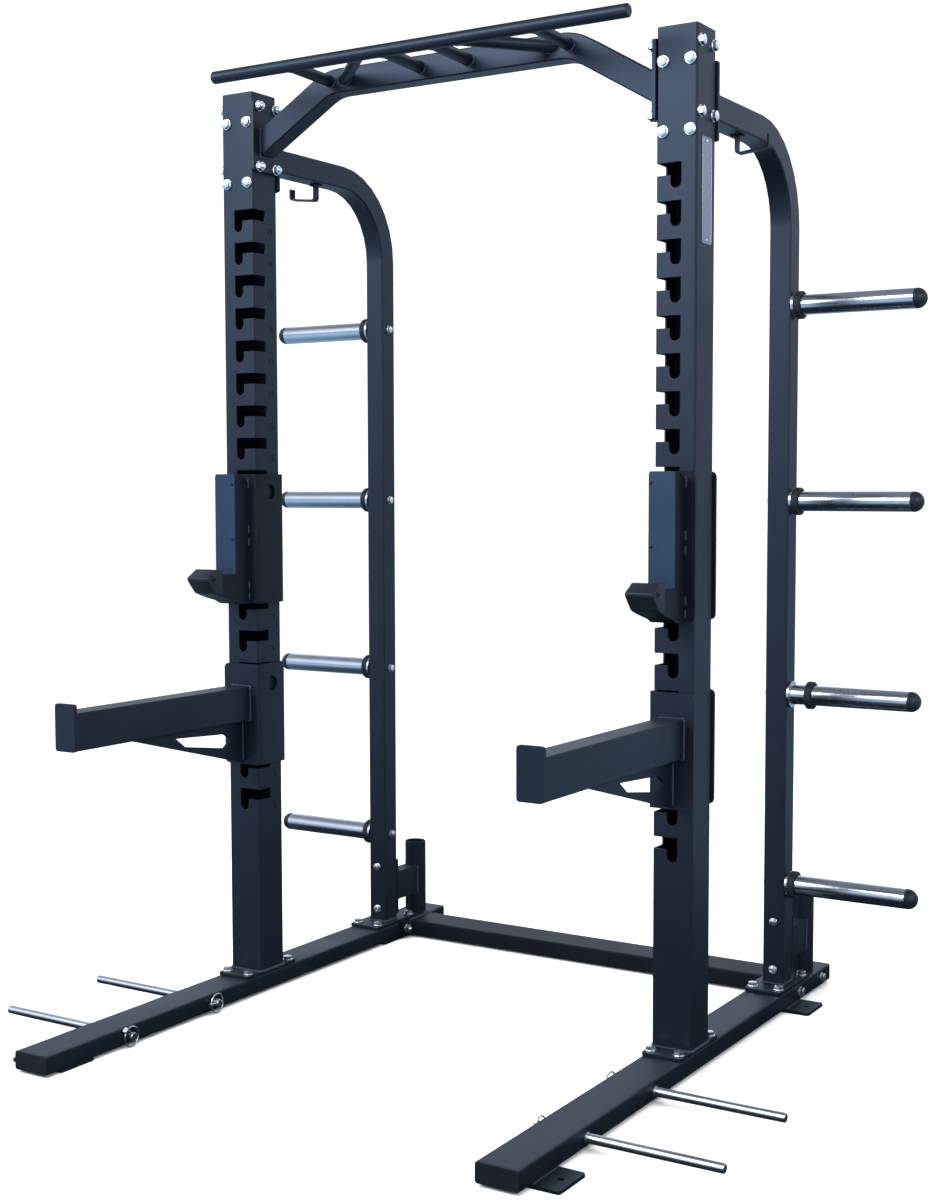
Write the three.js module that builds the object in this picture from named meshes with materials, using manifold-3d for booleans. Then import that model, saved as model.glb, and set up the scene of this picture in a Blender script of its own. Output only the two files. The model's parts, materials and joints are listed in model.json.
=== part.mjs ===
// A half rack for barbell training. It is a welded and bolted steel frame with two slotted uprights,
// a pull-up bar, weight pegs, barbell holders and band pegs, and four pieces that hook into the slots.
// Millimetres. X points to the lifter's right, Y to the back of the rack and Z up. The floor is z = 0.
import * as THREE from "three";
import { mergeVertices } from "three/addons/utils/BufferGeometryUtils.js";
import Module from "manifold-3d";

const wasm = await Module();
wasm.setup();

// How pieces meet
const clearance = 0.3; // between pieces that are bolted, hooked or pushed together
const weldBite = 1; // how far a welded piece runs into what it is welded to
const overrun = 5; // how far a cut runs past the face that it opens
const mergeShare = 1e-6; // vertices closer than this share of the rack's width are one vertex

// How round things are drawn
const wideSides = 20;
const barSides = 16;
const thinSides = 8;
const wireSides = 6;
const ringSteps = 12;
const domeSteps = 3;
const slotSteps = 3;
const arcSteps = 4;
const filletSteps = 1;

// The two base tubes, one under each side
const railSpacing = 1130; // between the middles of the left and right side of the rack
const base = { length: 1512, width: 90, height: 40, wall: 3, corner: 5 };
const baseCap = { thickness: 3, plugDepth: 18, plugGap: 0.4 };
const foot = {
  thickness: 6,
  length: 98,
  reach: 56,
  hole: 14,
  holeFromEdge: 24,
  corner: 6,
  frontInset: 89,
  rearInset: 242,
};

// The two slotted uprights
const upright = { width: 90, depth: 90, height: 2084, wall: 4, corner: 5, fromFront: 745, topPlate: 5 };
const uprightFoot = { length: 190, thickness: 8, corner: 6 };
const slot = {
  count: 19,
  pitch: 76.2,
  topFromHead: 270,
  bandHeight: 25,
  height: 51,
  width: 24,
  fromInnerFace: 44,
  sideDepth: 45,
};

// The flange plates at the top of each upright
const flange = { lip: 5, height: 161, thickness: 8, corner: 5 };
const crossFlangeDrop = 102; // from the top of the upright to the middle of the crossmember's flange
const rearFlangeDrop = 139; // from the top of the upright to the middle of the rear frame's flange

// The two rear frames: an arm from the upright that bends down into the rear post
const rearTube = { width: 52, depth: 55, corner: 3, bendRadius: 192 };
const rearPostSetback = 538; // from the middle of the upright to the middle of the rear post
const rearFoot = { length: 184, thickness: 8, corner: 6 };

// The accessory hook under each rear frame's arm, a bent flat strip
const strapHook = { width: 20, thickness: 4.5, drop: 40, run: 74, rise: 8, lip: 26, bend: 7, setback: 260 };

// The crossbar between the two base tubes
const crossbar = { depth: 100, corner: 4, behindPost: 99 };
const crossbarPlate = { length: 172, thickness: 8 };

// The pull-up bar: a bent crossmember, a straight front bar and six grips between them
const crossmember = { depth: 50, height: 55, corner: 3, flatLength: 632, bendRadius: 110, drop: 120 };
const crossmemberDrop = 1; // from the top of the upright to the middle of the crossmember's flat length
const frontBar = { diameter: 28, pastInnerFace: 4, chamfer: 3, forward: 175, rise: 4 };
const grip = { diameter: 26, outer: 308, inner: 62, slantAtBar: 120, slantAtBeam: 272 };

// The barbell holders behind the rear posts
const holder = { outer: 57, bore: 51, height: 194, setback: 156, rim: 2 };
const holderArm = { width: 40, height: 76, fromFloor: 138 };
const holderPlate = { height: 150, thickness: 6, corner: 4 };

// The chrome weight pegs, four on each rear post
const peg = { diameter: 46, length: 281, bore: 39, boreDepth: 26, flange: 62, flangeThickness: 6 };
const pegRow = { count: 4, lowest: 288, belowBend: 175.3 };
const pegCap = { length: 26, rim: 4, plug: 20 };
const ring = { bore: 47, outer: 64, width: 15, round: 3 };
const strayRing = { row: 1, distance: 36 }; // the ring that stands a little way out on its peg

// The band pegs through the base tubes, with the linch pins that hold them
const bandPeg = { diameter: 19, inside: 16, outside: 276, collar: 24, collarThickness: 4, chamfer: 1.5 };
const bandPegDrop = 1.5; // from the middle of the base tube's height down to the peg
const bandPegInset = { front: 243, rear: 529 }; // from the front end of the base tube
const linchPin = { diameter: 6, hole: 7, fromEnd: 8, tip: 7, head: 11, headHeight: 13 };
const linchRing = { wire: 3.5, radius: 21 };
const linchTurn = { front: Math.PI / 4, rear: Math.PI / 2 }; // from upright, round the peg

// The bracket by which a J-cup or safety arm wraps round its upright and hooks into two slots
const bracket = { plate: 6, gap: 2, bend: 8, corner: 10, window: 36, pin: 22.5, pinLength: 42 };

// The J-cups that the barbell rests on
const jCup = { height: 306, top: 42, slot: 8, pinSlots: [8, 11], width: 58, plate: 6 };
const saddle = { depth: 52, chamferDepth: 26, chamferHeight: 20 };
const hookArm = { reach: 154, height: 88, floorShare: 0.86 };
const hookRootShares = [
  [0.25, 0.01],
  [0.38, 0.11],
  [0.58, 0.2],
];
const hookTipShares = [
  [0.64, 0.23],
  [0.82, 0.34],
  [1, 0.72],
  [0.79, 0.97],
  [0.64, 0.95],
];
const tipCap = { wall: 3, sideWall: 2 };
const liner = { thickness: 4, corner: 6 };

// The safety arms that catch the barbell
const safety = { height: 241, top: 48, slot: 14, pinSlots: [14, 16] };
const safetyArm = { width: 56, height: 82, length: 572, topFromBracket: 52.5, corner: 3 };
const stopPlate = { width: 56, height: 102, thickness: 8, below: 1.5, corner: 6 };
const gusset = { thickness: 8, length: 395, toe: 3 };
const gussetWindowShares = [
  [0.1, 0.58],
  [0.17, 0.74],
  [0.6, 0.84],
  [0.52, 0.62],
  [0.17, 0.42],
];

// Places worked out from the sizes above
const railX = railSpacing / 2;
const baseHalf = base.length / 2;
const baseBottom = foot.thickness;
const baseTop = baseBottom + base.height;
const uprightY = -baseHalf + upright.fromFront;
const uprightInner = railX - upright.width / 2;
const uprightOuter = railX + upright.width / 2;
const uprightFront = uprightY - upright.depth / 2;
const uprightRear = uprightY + upright.depth / 2;
const plateTop = baseTop + clearance + uprightFoot.thickness;
const uprightTop = plateTop + upright.height;
const slotX = uprightInner + slot.fromInnerFace;
const slotBottom = (index) => uprightTop - slot.topFromHead - slot.height - index * slot.pitch;
const rearPostY = uprightY + rearPostSetback;
const rearPostOuter = railX + rearTube.width / 2;
const rearPostRear = rearPostY + rearTube.depth / 2;
const baseMiddle = baseBottom + base.height / 2;
const bandPegZ = baseMiddle - bandPegDrop;

// Shapes and solids

function solidOf(geometry) {
  const bare = geometry.clone();
  bare.deleteAttribute("normal");
  bare.deleteAttribute("uv");
  const merged = mergeVertices(bare, mergeShare * railSpacing);
  return new wasm.Manifold(
    new wasm.Mesh({
      numProp: 3,
      vertProperties: merged.getAttribute("position").array,
      triVerts: new Uint32Array(merged.index.array),
    }),
  );
}

function geometryOf(solid) {
  const mesh = solid.getMesh();
  const geometry = new THREE.BufferGeometry();
  geometry.setAttribute("position", new THREE.BufferAttribute(mesh.vertProperties, mesh.numProp));
  geometry.setIndex(new THREE.BufferAttribute(mesh.triVerts, 1));
  const faceted = geometry.toNonIndexed();
  faceted.computeVertexNormals();
  return faceted;
}

const join = (solids) => solids.reduce((whole, next) => whole.add(next));
const cut = (solid, tools) => tools.reduce((whole, tool) => whole.subtract(tool), solid);

// A box between two corners, given as a pair of limits along each axis
function block([x0, x1], [y0, y1], [z0, z1]) {
  const geometry = new THREE.BoxGeometry(x1 - x0, y1 - y0, z1 - z0);
  geometry.translate((x0 + x1) / 2, (y0 + y1) / 2, (z0 + z1) / 2);
  return solidOf(geometry);
}

function around(middle, size) {
  return [middle - size / 2, middle + size / 2];
}

function roundedRectangle([u0, u1], [v0, v1], radius) {
  const shape = new THREE.Shape();
  shape.absarc(u1 - radius, v0 + radius, radius, -Math.PI / 2, 0);
  shape.absarc(u1 - radius, v1 - radius, radius, 0, Math.PI / 2);
  shape.absarc(u0 + radius, v1 - radius, radius, Math.PI / 2, Math.PI);
  shape.absarc(u0 + radius, v0 + radius, radius, Math.PI, 1.5 * Math.PI);
  shape.closePath();
  return shape;
}

function rectangle([u0, u1], [v0, v1]) {
  return polygon([
    [u0, v0],
    [u1, v0],
    [u1, v1],
    [u0, v1],
  ]);
}

function polygon(points) {
  return new THREE.Shape(points.map(([u, v]) => new THREE.Vector2(u, v)));
}

// A strip of even thickness along straight runs with round bends between them
function bentStrip(points, thickness, bendRadius) {
  const half = thickness / 2;
  const path = points.map(([u, v]) => new THREE.Vector2(u, v));
  const runs = path.slice(1).map((point, i) => point.clone().sub(path[i]).normalize());
  const normals = runs.map((run) => new THREE.Vector2(-run.y, run.x));
  const bends = path.slice(1, -1).map((corner, i) => {
    const turn = Math.sign(runs[i].cross(runs[i + 1]));
    const angle = Math.acos(THREE.MathUtils.clamp(runs[i].dot(runs[i + 1]), -1, 1));
    const start = corner.clone().addScaledVector(runs[i], -bendRadius * Math.tan(angle / 2));
    const centre = start.addScaledVector(normals[i], turn * bendRadius);
    const from = normals[i].clone().multiplyScalar(-turn).angle();
    const to = normals[i + 1].clone().multiplyScalar(-turn).angle();
    return { centre, from, to, turn };
  });
  const shape = new THREE.Shape();
  const corner = (point, normal, side) => point.clone().addScaledVector(normal, side * half);
  const first = corner(path[0], normals[0], 1);
  const last = corner(path.at(-1), normals.at(-1), 1);
  const lastBack = corner(path.at(-1), normals.at(-1), -1);
  const firstBack = corner(path[0], normals[0], -1);
  shape.moveTo(firstBack.x, firstBack.y);
  shape.lineTo(first.x, first.y);
  for (const { centre, from, to, turn } of bends)
    shape.absarc(centre.x, centre.y, bendRadius - turn * half, from, to, turn < 0);
  shape.lineTo(last.x, last.y);
  shape.lineTo(lastBack.x, lastBack.y);
  for (const { centre, from, to, turn } of bends.toReversed())
    shape.absarc(centre.x, centre.y, bendRadius + turn * half, to, from, turn > 0);
  shape.closePath();
  return shape;
}

// An outline pushed along an axis between two limits. The outline is drawn in the two other axes.
function extrude(shape, [from, to], axis, edge = 0, steps = filletSteps) {
  const geometry = new THREE.ExtrudeGeometry(shape, {
    depth: to - from - 2 * edge,
    curveSegments: steps,
    bevelEnabled: edge > 0,
    bevelThickness: edge,
    bevelSize: edge,
    bevelOffset: -edge,
    bevelSegments: 1,
  });
  if (axis === "z") geometry.translate(0, 0, from + edge);
  if (axis === "x") {
    const turned = new THREE.Matrix4().makeBasis(
      new THREE.Vector3(0, 1, 0),
      new THREE.Vector3(0, 0, 1),
      new THREE.Vector3(1, 0, 0),
    );
    geometry.applyMatrix4(turned).translate(from + edge, 0, 0);
  }
  if (axis === "y") geometry.rotateX(Math.PI / 2).translate(0, to - edge, 0);
  return solidOf(geometry);
}

// A round rod between two points
function rod(start, end, diameter, sides) {
  const from = new THREE.Vector3(...start);
  const along = new THREE.Vector3(...end).sub(from);
  const geometry = new THREE.CylinderGeometry(diameter / 2, diameter / 2, along.length(), sides);
  const turn = new THREE.Quaternion().setFromUnitVectors(
    new THREE.Vector3(0, 1, 0),
    along.clone().normalize(),
  );
  geometry.applyQuaternion(turn);
  const middle = from.addScaledVector(along, 1 / 2);
  geometry.translate(middle.x, middle.y, middle.z);
  return solidOf(geometry);
}

// A profile of radius and distance spun round the X axis
function spin(profile, sides) {
  const points = profile.map(([radius, distance]) => new THREE.Vector2(radius, distance));
  const geometry = new THREE.LatheGeometry(points, sides);
  return geometry.rotateZ(-Math.PI / 2);
}

// The sheet of nodes: a right half and its mirror image, and pieces on the middle line

const rack = new THREE.Group();
rack.name = "half_rack";
const rightHalf = new THREE.Group();
const leftHalf = new THREE.Group();
leftHalf.scale.x = -1;
rack.add(rightHalf, leftHalf);

const finishes = {
  paint: { color: 0x2a2f3a, roughness: 0.45, metalness: 0.55 },
  chrome: { color: 0xc9ccd2, roughness: 0.12, metalness: 1 },
  zinc: { color: 0xb8bcc4, roughness: 0.3, metalness: 1 },
  plastic: { color: 0x17181b, roughness: 0.6, metalness: 0 },
  rubber: { color: 0x0f1012, roughness: 0.85, metalness: 0 },
};

function place(parent, name, geometry, finish, position = [0, 0, 0]) {
  const mesh = new THREE.Mesh(geometry, new THREE.MeshStandardMaterial(finishes[finish]));
  mesh.name = name;
  mesh.position.set(...position);
  parent.add(mesh);
  return mesh;
}

function placePair(name, solid, finish) {
  const geometry = geometryOf(solid);
  place(rightHalf, `${name}_right`, geometry, finish);
  place(leftHalf, `${name}_left`, geometry.clone(), finish);
}

// Base tubes

function baseTube() {
  const across = around(railX, base.width);
  const upwards = [baseBottom, baseTop];
  const section = roundedRectangle(across, upwards, base.corner);
  section.holes.push(
    rectangle(around(railX, base.width - 2 * base.wall), around(baseMiddle, base.height - 2 * base.wall)),
  );
  const feet = [-baseHalf + foot.frontInset, baseHalf - foot.rearInset].map(footPlate);
  const pegHoles = Object.values(bandPegInset).map((inset) => bandPegHole(-baseHalf + inset));
  return cut(join([extrude(section, [-baseHalf, baseHalf], "y"), ...feet]), pegHoles);
}

function footPlate(y) {
  const inner = railX - base.width / 2;
  const outer = railX + base.width / 2 + foot.reach;
  const outline = roundedRectangle([inner, outer], around(y, foot.length), foot.corner);
  const hole = new THREE.Path();
  hole.absarc(outer - foot.holeFromEdge, y, foot.hole / 2, 0, 2 * Math.PI);
  outline.holes.push(hole);
  return extrude(outline, [0, foot.thickness + weldBite], "z", 0, arcSteps);
}

function bandPegHole(y) {
  const reach = base.width / 2 + overrun;
  return rod(
    [railX - reach, y, bandPegZ],
    [railX + reach, y, bandPegZ],
    bandPeg.diameter + 2 * clearance,
    barSides,
  );
}

function baseEndCap() {
  const across = around(railX, base.width);
  const face = extrude(
    roundedRectangle(across, [baseBottom, baseTop], base.corner),
    [baseHalf + clearance, baseHalf + clearance + baseCap.thickness],
    "y",
  );
  const inset = 2 * (base.wall + baseCap.plugGap);
  const plug = extrude(
    rectangle(around(railX, base.width - inset), around(baseMiddle, base.height - inset)),
    [baseHalf - baseCap.plugDepth, baseHalf + clearance + weldBite],
    "y",
  );
  return face.add(plug);
}

function addBase() {
  placePair("base_tube", baseTube(), "paint");
  const rearCap = geometryOf(baseEndCap());
  for (const [half, side] of [
    [rightHalf, "right"],
    [leftHalf, "left"],
  ]) {
    place(half, `base_cap_rear_${side}`, rearCap.clone(), "plastic");
    const front = place(half, `base_cap_front_${side}`, rearCap.clone(), "plastic");
    front.scale.y = -1;
  }
}

// Uprights

function jSlot(index) {
  const bottom = slotBottom(index);
  const top = bottom + slot.height;
  const radius = slot.width / 2;
  const band = block(
    [uprightInner - overrun, slotX + radius],
    [uprightFront - overrun, uprightFront + slot.sideDepth],
    [top - slot.bandHeight, top],
  );
  const drop = new THREE.Shape();
  drop.absarc(slotX, bottom + radius, radius, Math.PI, 2 * Math.PI);
  drop.lineTo(slotX + radius, top);
  drop.lineTo(slotX - radius, top);
  drop.closePath();
  const frontWall = [uprightFront - overrun, uprightFront + 2 * upright.wall];
  return band.add(extrude(drop, frontWall, "y", 0, slotSteps));
}

function uprightPost() {
  const section = roundedRectangle(
    around(railX, upright.width),
    around(uprightY, upright.depth),
    upright.corner,
  );
  const top = extrude(section, [uprightTop - upright.topPlate, uprightTop], "z");
  section.holes.push(
    rectangle(
      around(railX, upright.width - 2 * upright.wall),
      around(uprightY, upright.depth - 2 * upright.wall),
    ),
  );
  const tube = extrude(section, [plateTop - weldBite, uprightTop - upright.topPlate + weldBite], "z");
  const plate = basePlate(uprightY, uprightFoot);
  const slots = Array.from({ length: slot.count }, (_, index) => jSlot(index));
  return cut(join([plate, tube, top]), slots);
}

function basePlate(y, { length, thickness, corner }) {
  const outline = roundedRectangle(around(railX, base.width), around(y, length), corner);
  return extrude(outline, [baseTop + clearance, baseTop + clearance + thickness], "z");
}

// Rear frames and their hooks

const rearArmZ = uprightTop - rearFlangeDrop;
const pegSpan = rearArmZ - rearTube.bendRadius - pegRow.belowBend - pegRow.lowest;
const pegSpacing = pegSpan / (pegRow.count - 1);

function rearFrame() {
  const flangeFront = uprightRear + clearance;
  const plate = extrude(
    roundedRectangle(
      around(railX, upright.width + 2 * flange.lip),
      around(rearArmZ, flange.height),
      flange.corner,
    ),
    [flangeFront, flangeFront + flange.thickness],
    "y",
  );
  const arch = bentStrip(
    [
      [flangeFront + flange.thickness - weldBite, rearArmZ],
      [rearPostY, rearArmZ],
      [rearPostY, baseTop + clearance + rearFoot.thickness - weldBite],
    ],
    rearTube.depth,
    rearTube.bendRadius,
  );
  const tube = extrude(arch, around(railX, rearTube.width), "x", rearTube.corner, arcSteps);
  return join([plate, tube, basePlate(rearPostY, rearFoot)]);
}

function accessoryHook() {
  const across = around(uprightY + strapHook.setback, strapHook.width);
  const top = rearArmZ - rearTube.depth / 2 - clearance;
  const bottom = top - strapHook.drop;
  const outline = bentStrip(
    [
      [railX, top],
      [railX, bottom],
      [railX + strapHook.run, bottom + strapHook.rise],
      [railX + strapHook.run, bottom + strapHook.rise + strapHook.lip],
    ],
    strapHook.thickness,
    strapHook.bend,
  );
  const tab = block(around(railX, rearTube.width / 2), across, [top - strapHook.thickness, top]);
  return extrude(outline, across, "y", 0, arcSteps / 2).add(tab);
}

// Crossbar

function rearCrossbar() {
  const y = rearPostY + crossbar.behindPost;
  const reach = railX - base.width / 2 - clearance;
  const bar = extrude(
    roundedRectangle(around(y, crossbar.depth), [baseBottom, baseTop], crossbar.corner),
    [-reach, reach],
    "x",
  );
  const ends = [-1, 1].map((side) =>
    block(
      [side * reach, side * (reach - crossbarPlate.thickness)].sort((a, b) => a - b),
      around(y, crossbarPlate.length),
      [baseBottom, baseTop],
    ),
  );
  return join([bar, ...ends]);
}

// Pull-up bar

function pullUpBar() {
  const beamZ = uprightTop - crossmemberDrop;
  const plateZ = uprightTop - crossFlangeDrop;
  const outer = uprightInner - clearance;
  const bend = crossmember.flatLength / 2;
  const beam = extrude(
    bentStrip(
      [
        [-outer, beamZ - crossmember.drop],
        [-bend, beamZ],
        [bend, beamZ],
        [outer, beamZ - crossmember.drop],
      ],
      crossmember.height,
      crossmember.bendRadius,
    ),
    around(uprightY, crossmember.depth),
    "y",
    crossmember.corner,
    arcSteps / 2,
  );
  const plates = [-1, 1].map((side) =>
    extrude(
      roundedRectangle(
        [uprightFront - flange.lip, uprightRear - clearance],
        around(plateZ, flange.height),
        flange.corner,
      ),
      [side * outer, side * (outer - flange.thickness)].sort((a, b) => a - b),
      "x",
    ),
  );
  const beyond = [-1, 1].map((side) =>
    block(
      [side * outer, side * (outer + crossmember.height)].sort((a, b) => a - b),
      around(uprightY, 2 * upright.depth),
      around(plateZ, 2 * flange.height),
    ),
  );
  const barY = uprightY - frontBar.forward;
  const barZ = uprightTop + frontBar.rise;
  const beamFace = uprightY - crossmember.depth / 2 + crossmember.corner + weldBite;
  const grips = [-1, 1].flatMap((side) =>
    [
      [grip.inner, grip.inner],
      [grip.slantAtBar, grip.slantAtBeam],
      [grip.outer, grip.outer],
    ].map(([atBar, atBeam]) =>
      rod([side * atBar, barY, barZ], [side * atBeam, beamFace, beamZ], grip.diameter, barSides),
    ),
  );
  return join([cut(beam, beyond), ...plates, roundBar(barY, barZ), ...grips]);
}

function roundBar(y, z) {
  const radius = frontBar.diameter / 2;
  const half = uprightInner + frontBar.pastInnerFace;
  const bar = spin(
    [
      [0, -half],
      [radius - frontBar.chamfer, -half],
      [radius, -half + frontBar.chamfer],
      [radius, half - frontBar.chamfer],
      [radius - frontBar.chamfer, half],
      [0, half],
    ],
    barSides,
  );
  return solidOf(bar.translate(0, y, z));
}

// Barbell holders

function barbellHolder() {
  const y = rearPostY + holder.setback;
  const bottom = baseTop + clearance;
  const top = bottom + holder.height;
  const outer = holder.outer / 2;
  const bore = holder.bore / 2;
  const tube = spin(
    [
      [bore, bottom],
      [outer, bottom],
      [outer, top - holder.rim],
      [outer - holder.rim, top],
      [bore, top],
      [bore, bottom],
    ],
    wideSides,
  );
  tube.rotateY(-Math.PI / 2).translate(railX, y, 0);
  const plateFront = rearPostRear + clearance;
  const plate = extrude(
    roundedRectangle(
      around(railX, rearTube.width),
      around(holderArm.fromFloor, holderPlate.height),
      holderPlate.corner,
    ),
    [plateFront, plateFront + holderPlate.thickness],
    "y",
  );
  const arm = block(
    around(railX, holderArm.width),
    [plateFront + holderPlate.thickness - weldBite, y],
    around(holderArm.fromFloor, holderArm.height),
  );
  const bored = rod([railX, y, bottom - overrun], [railX, y, top + overrun], holder.bore, wideSides);
  return join([solidOf(tube), plate, cut(arm, [bored])]);
}

// Weight pegs with their caps and rubber rings

function weightPeg() {
  const outer = peg.diameter / 2;
  return spin(
    [
      [0, 0],
      [peg.flange / 2, 0],
      [peg.flange / 2, peg.flangeThickness],
      [outer, peg.flangeThickness],
      [outer, peg.length],
      [peg.bore / 2, peg.length],
      [peg.bore / 2, peg.length - peg.boreDepth],
      [0, peg.length - peg.boreDepth],
    ],
    barSides,
  );
}

function pegEndCap() {
  const outer = peg.diameter / 2;
  const plug = peg.bore / 2 - clearance;
  const dome = pegCap.length - pegCap.rim;
  const steps = Array.from({ length: domeSteps }, (_, i) => (i * Math.PI) / (2 * domeSteps));
  return spin(
    [
      [0, -pegCap.plug],
      [plug, -pegCap.plug],
      [plug, 0],
      [outer, 0],
      ...steps.map((turn) => [outer * Math.cos(turn), pegCap.rim + dome * Math.sin(turn)]),
      [0, pegCap.length],
    ],
    barSides,
  );
}

function rubberRing() {
  const bore = ring.bore / 2;
  const outer = ring.outer / 2;
  return spin(
    [
      [bore, 0],
      [outer - ring.round, 0],
      [outer, ring.round],
      [outer, ring.width - ring.round],
      [outer - ring.round, ring.width],
      [bore, ring.width],
      [bore, 0],
    ],
    barSides,
  );
}

function addWeightPegs() {
  const pegRoot = rearPostOuter + clearance;
  const capSeat = pegRoot + peg.length + clearance;
  const ringSeat = pegRoot + peg.flangeThickness + clearance;
  for (const [half, side] of [
    [rightHalf, "right"],
    [leftHalf, "left"],
  ])
    for (let row = 0; row < pegRow.count; row += 1) {
      const z = pegRow.lowest + row * pegSpacing;
      const label = `${row + 1}_${side}`;
      const stray = side === "right" && row === strayRing.row ? strayRing.distance : 0;
      place(half, `weight_peg_${label}`, weightPeg(), "chrome", [pegRoot, rearPostY, z]);
      place(half, `peg_cap_${label}`, pegEndCap(), "plastic", [capSeat, rearPostY, z]);
      place(half, `peg_ring_${label}`, rubberRing(), "rubber", [ringSeat + stray, rearPostY, z]);
    }
}

// Band pegs and linch pins, drawn about the peg's own axis

const linchX = railX - base.width / 2 - bandPeg.inside + linchPin.fromEnd;

function bandPegRod() {
  const inner = railX - base.width / 2 - bandPeg.inside;
  const collar = railX + base.width / 2 + clearance;
  const end = railX + base.width / 2 + bandPeg.outside;
  const radius = bandPeg.diameter / 2;
  const shaft = spin(
    [
      [0, inner],
      [radius - bandPeg.chamfer, inner],
      [radius, inner + bandPeg.chamfer],
      [radius, collar],
      [bandPeg.collar / 2, collar],
      [bandPeg.collar / 2, collar + bandPeg.collarThickness],
      [radius, collar + bandPeg.collarThickness],
      [radius, end - bandPeg.chamfer],
      [radius - bandPeg.chamfer, end],
      [0, end],
    ],
    barSides,
  );
  const hole = rod([linchX, 0, -bandPeg.diameter], [linchX, 0, bandPeg.diameter], linchPin.hole, thinSides);
  return cut(solidOf(shaft), [hole]);
}

function linchPinBody() {
  const headTop = linchRing.radius + linchPin.headHeight / 2;
  const headBottom = linchRing.radius - linchPin.headHeight / 2;
  const pin = rod(
    [linchX, 0, -bandPeg.diameter / 2 - linchPin.tip],
    [linchX, 0, headBottom + weldBite],
    linchPin.diameter,
    thinSides,
  );
  const head = extrude(
    roundedRectangle(around(linchX, linchPin.head), around(0, linchPin.head), linchPin.diameter / 2),
    [headBottom, headTop],
    "z",
  );
  return pin.add(head);
}

// The spring ring is hinged in the pin's head and closes round the end of the peg
function linchSpringRing() {
  const innerRadius = linchRing.radius - linchRing.wire / 2;
  const gapAngle = Math.asin((linchPin.head / 2 + clearance) / innerRadius);
  const circle = new THREE.EllipseCurve(
    0,
    0,
    linchRing.radius,
    linchRing.radius,
    Math.PI / 2 + gapAngle,
    2.5 * Math.PI - gapAngle,
  );
  const ringPath = new THREE.CatmullRomCurve3(
    circle.getPoints(ringSteps).map((point) => new THREE.Vector3(0, point.x, point.y)),
  );
  const wire = new THREE.Shape();
  wire.absarc(0, 0, linchRing.wire / 2, 0, 2 * Math.PI);
  const geometry = new THREE.ExtrudeGeometry(wire, {
    extrudePath: ringPath,
    steps: ringSteps,
    curveSegments: wireSides / 2,
  });
  return solidOf(geometry.translate(linchX, 0, 0));
}

function addBandPegs() {
  const pieces = [
    ["band_peg", geometryOf(bandPegRod()), "chrome"],
    ["linch_pin", geometryOf(linchPinBody()), "zinc"],
    ["linch_ring", geometryOf(linchSpringRing()), "zinc"],
  ];
  for (const [half, side] of [
    [rightHalf, "right"],
    [leftHalf, "left"],
  ])
    for (const station of ["front", "rear"]) {
      const holderGroup = new THREE.Group();
      holderGroup.position.set(0, -baseHalf + bandPegInset[station], bandPegZ);
      holderGroup.rotation.x = linchTurn[station];
      half.add(holderGroup);
      for (const [name, geometry, finish] of pieces)
        place(holderGroup, `${name}_${station}_${side}`, geometry.clone(), finish);
    }
}

// Brackets that hook into the uprights

const bracketFront = uprightFront - bracket.gap - bracket.plate;

function slotBracket(bottom, height, pinSlots) {
  const skin = bracket.gap + bracket.plate / 2;
  const top = bottom + height;
  const wrap = bentStrip(
    [
      [uprightOuter + skin, uprightFront - skin],
      [uprightInner - skin, uprightFront - skin],
      [uprightInner - skin, uprightRear + skin],
      [uprightOuter + skin, uprightRear + skin],
    ],
    bracket.plate,
    bracket.bend,
  );
  const envelope = roundedRectangle(
    [uprightInner - upright.width, uprightOuter + skin],
    [bottom, top],
    bracket.corner,
  );
  const body = extrude(wrap, [bottom, top], "z", 0, filletSteps).intersect(
    extrude(envelope, around(uprightY, 2 * upright.depth), "y", 0, filletSteps),
  );
  const windowZ = slotBottom(Math.min(...pinSlots));
  const windowHole = rod(
    [uprightInner - upright.width / 2, uprightY, windowZ],
    [uprightInner, uprightY, windowZ],
    bracket.window,
    wideSides,
  );
  const pinStart = uprightFront - bracket.gap - weldBite;
  const pins = pinSlots.map((index) => {
    const z = slotBottom(index) + slot.width / 2;
    return rod([slotX, pinStart, z], [slotX, pinStart + bracket.pinLength, z], bracket.pin, barSides);
  });
  return join([cut(body, [windowHole]), ...pins]);
}

// J-cups

const jCupBottom = slotBottom(jCup.slot) + jCup.top - jCup.height;
const hookPoint = ([reach, rise]) => [
  bracketFront - reach * hookArm.reach,
  jCupBottom + rise * hookArm.height,
];

const hookRoot = hookRootShares.map(hookPoint);
const hookTip = hookTipShares.map(hookPoint);
const capEdge = hookTip[0][0];
const cradleFloor = jCupBottom + hookArm.floorShare * hookArm.height;

// A line of points moved sideways by a distance, to the left of the way that it runs
function offsetLine(points, distance) {
  const path = points.map(([u, v]) => new THREE.Vector2(u, v));
  const normals = path.slice(1).map((point, i) => {
    const run = point.clone().sub(path[i]).normalize();
    return new THREE.Vector2(-run.y, run.x);
  });
  return path.map((point, i) => {
    const before = normals[Math.max(i - 1, 0)];
    const after = normals[Math.min(i, normals.length - 1)];
    const between = before.clone().add(after).normalize();
    return point.clone().addScaledVector(between, distance / between.dot(after)).toArray();
  });
}

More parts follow.
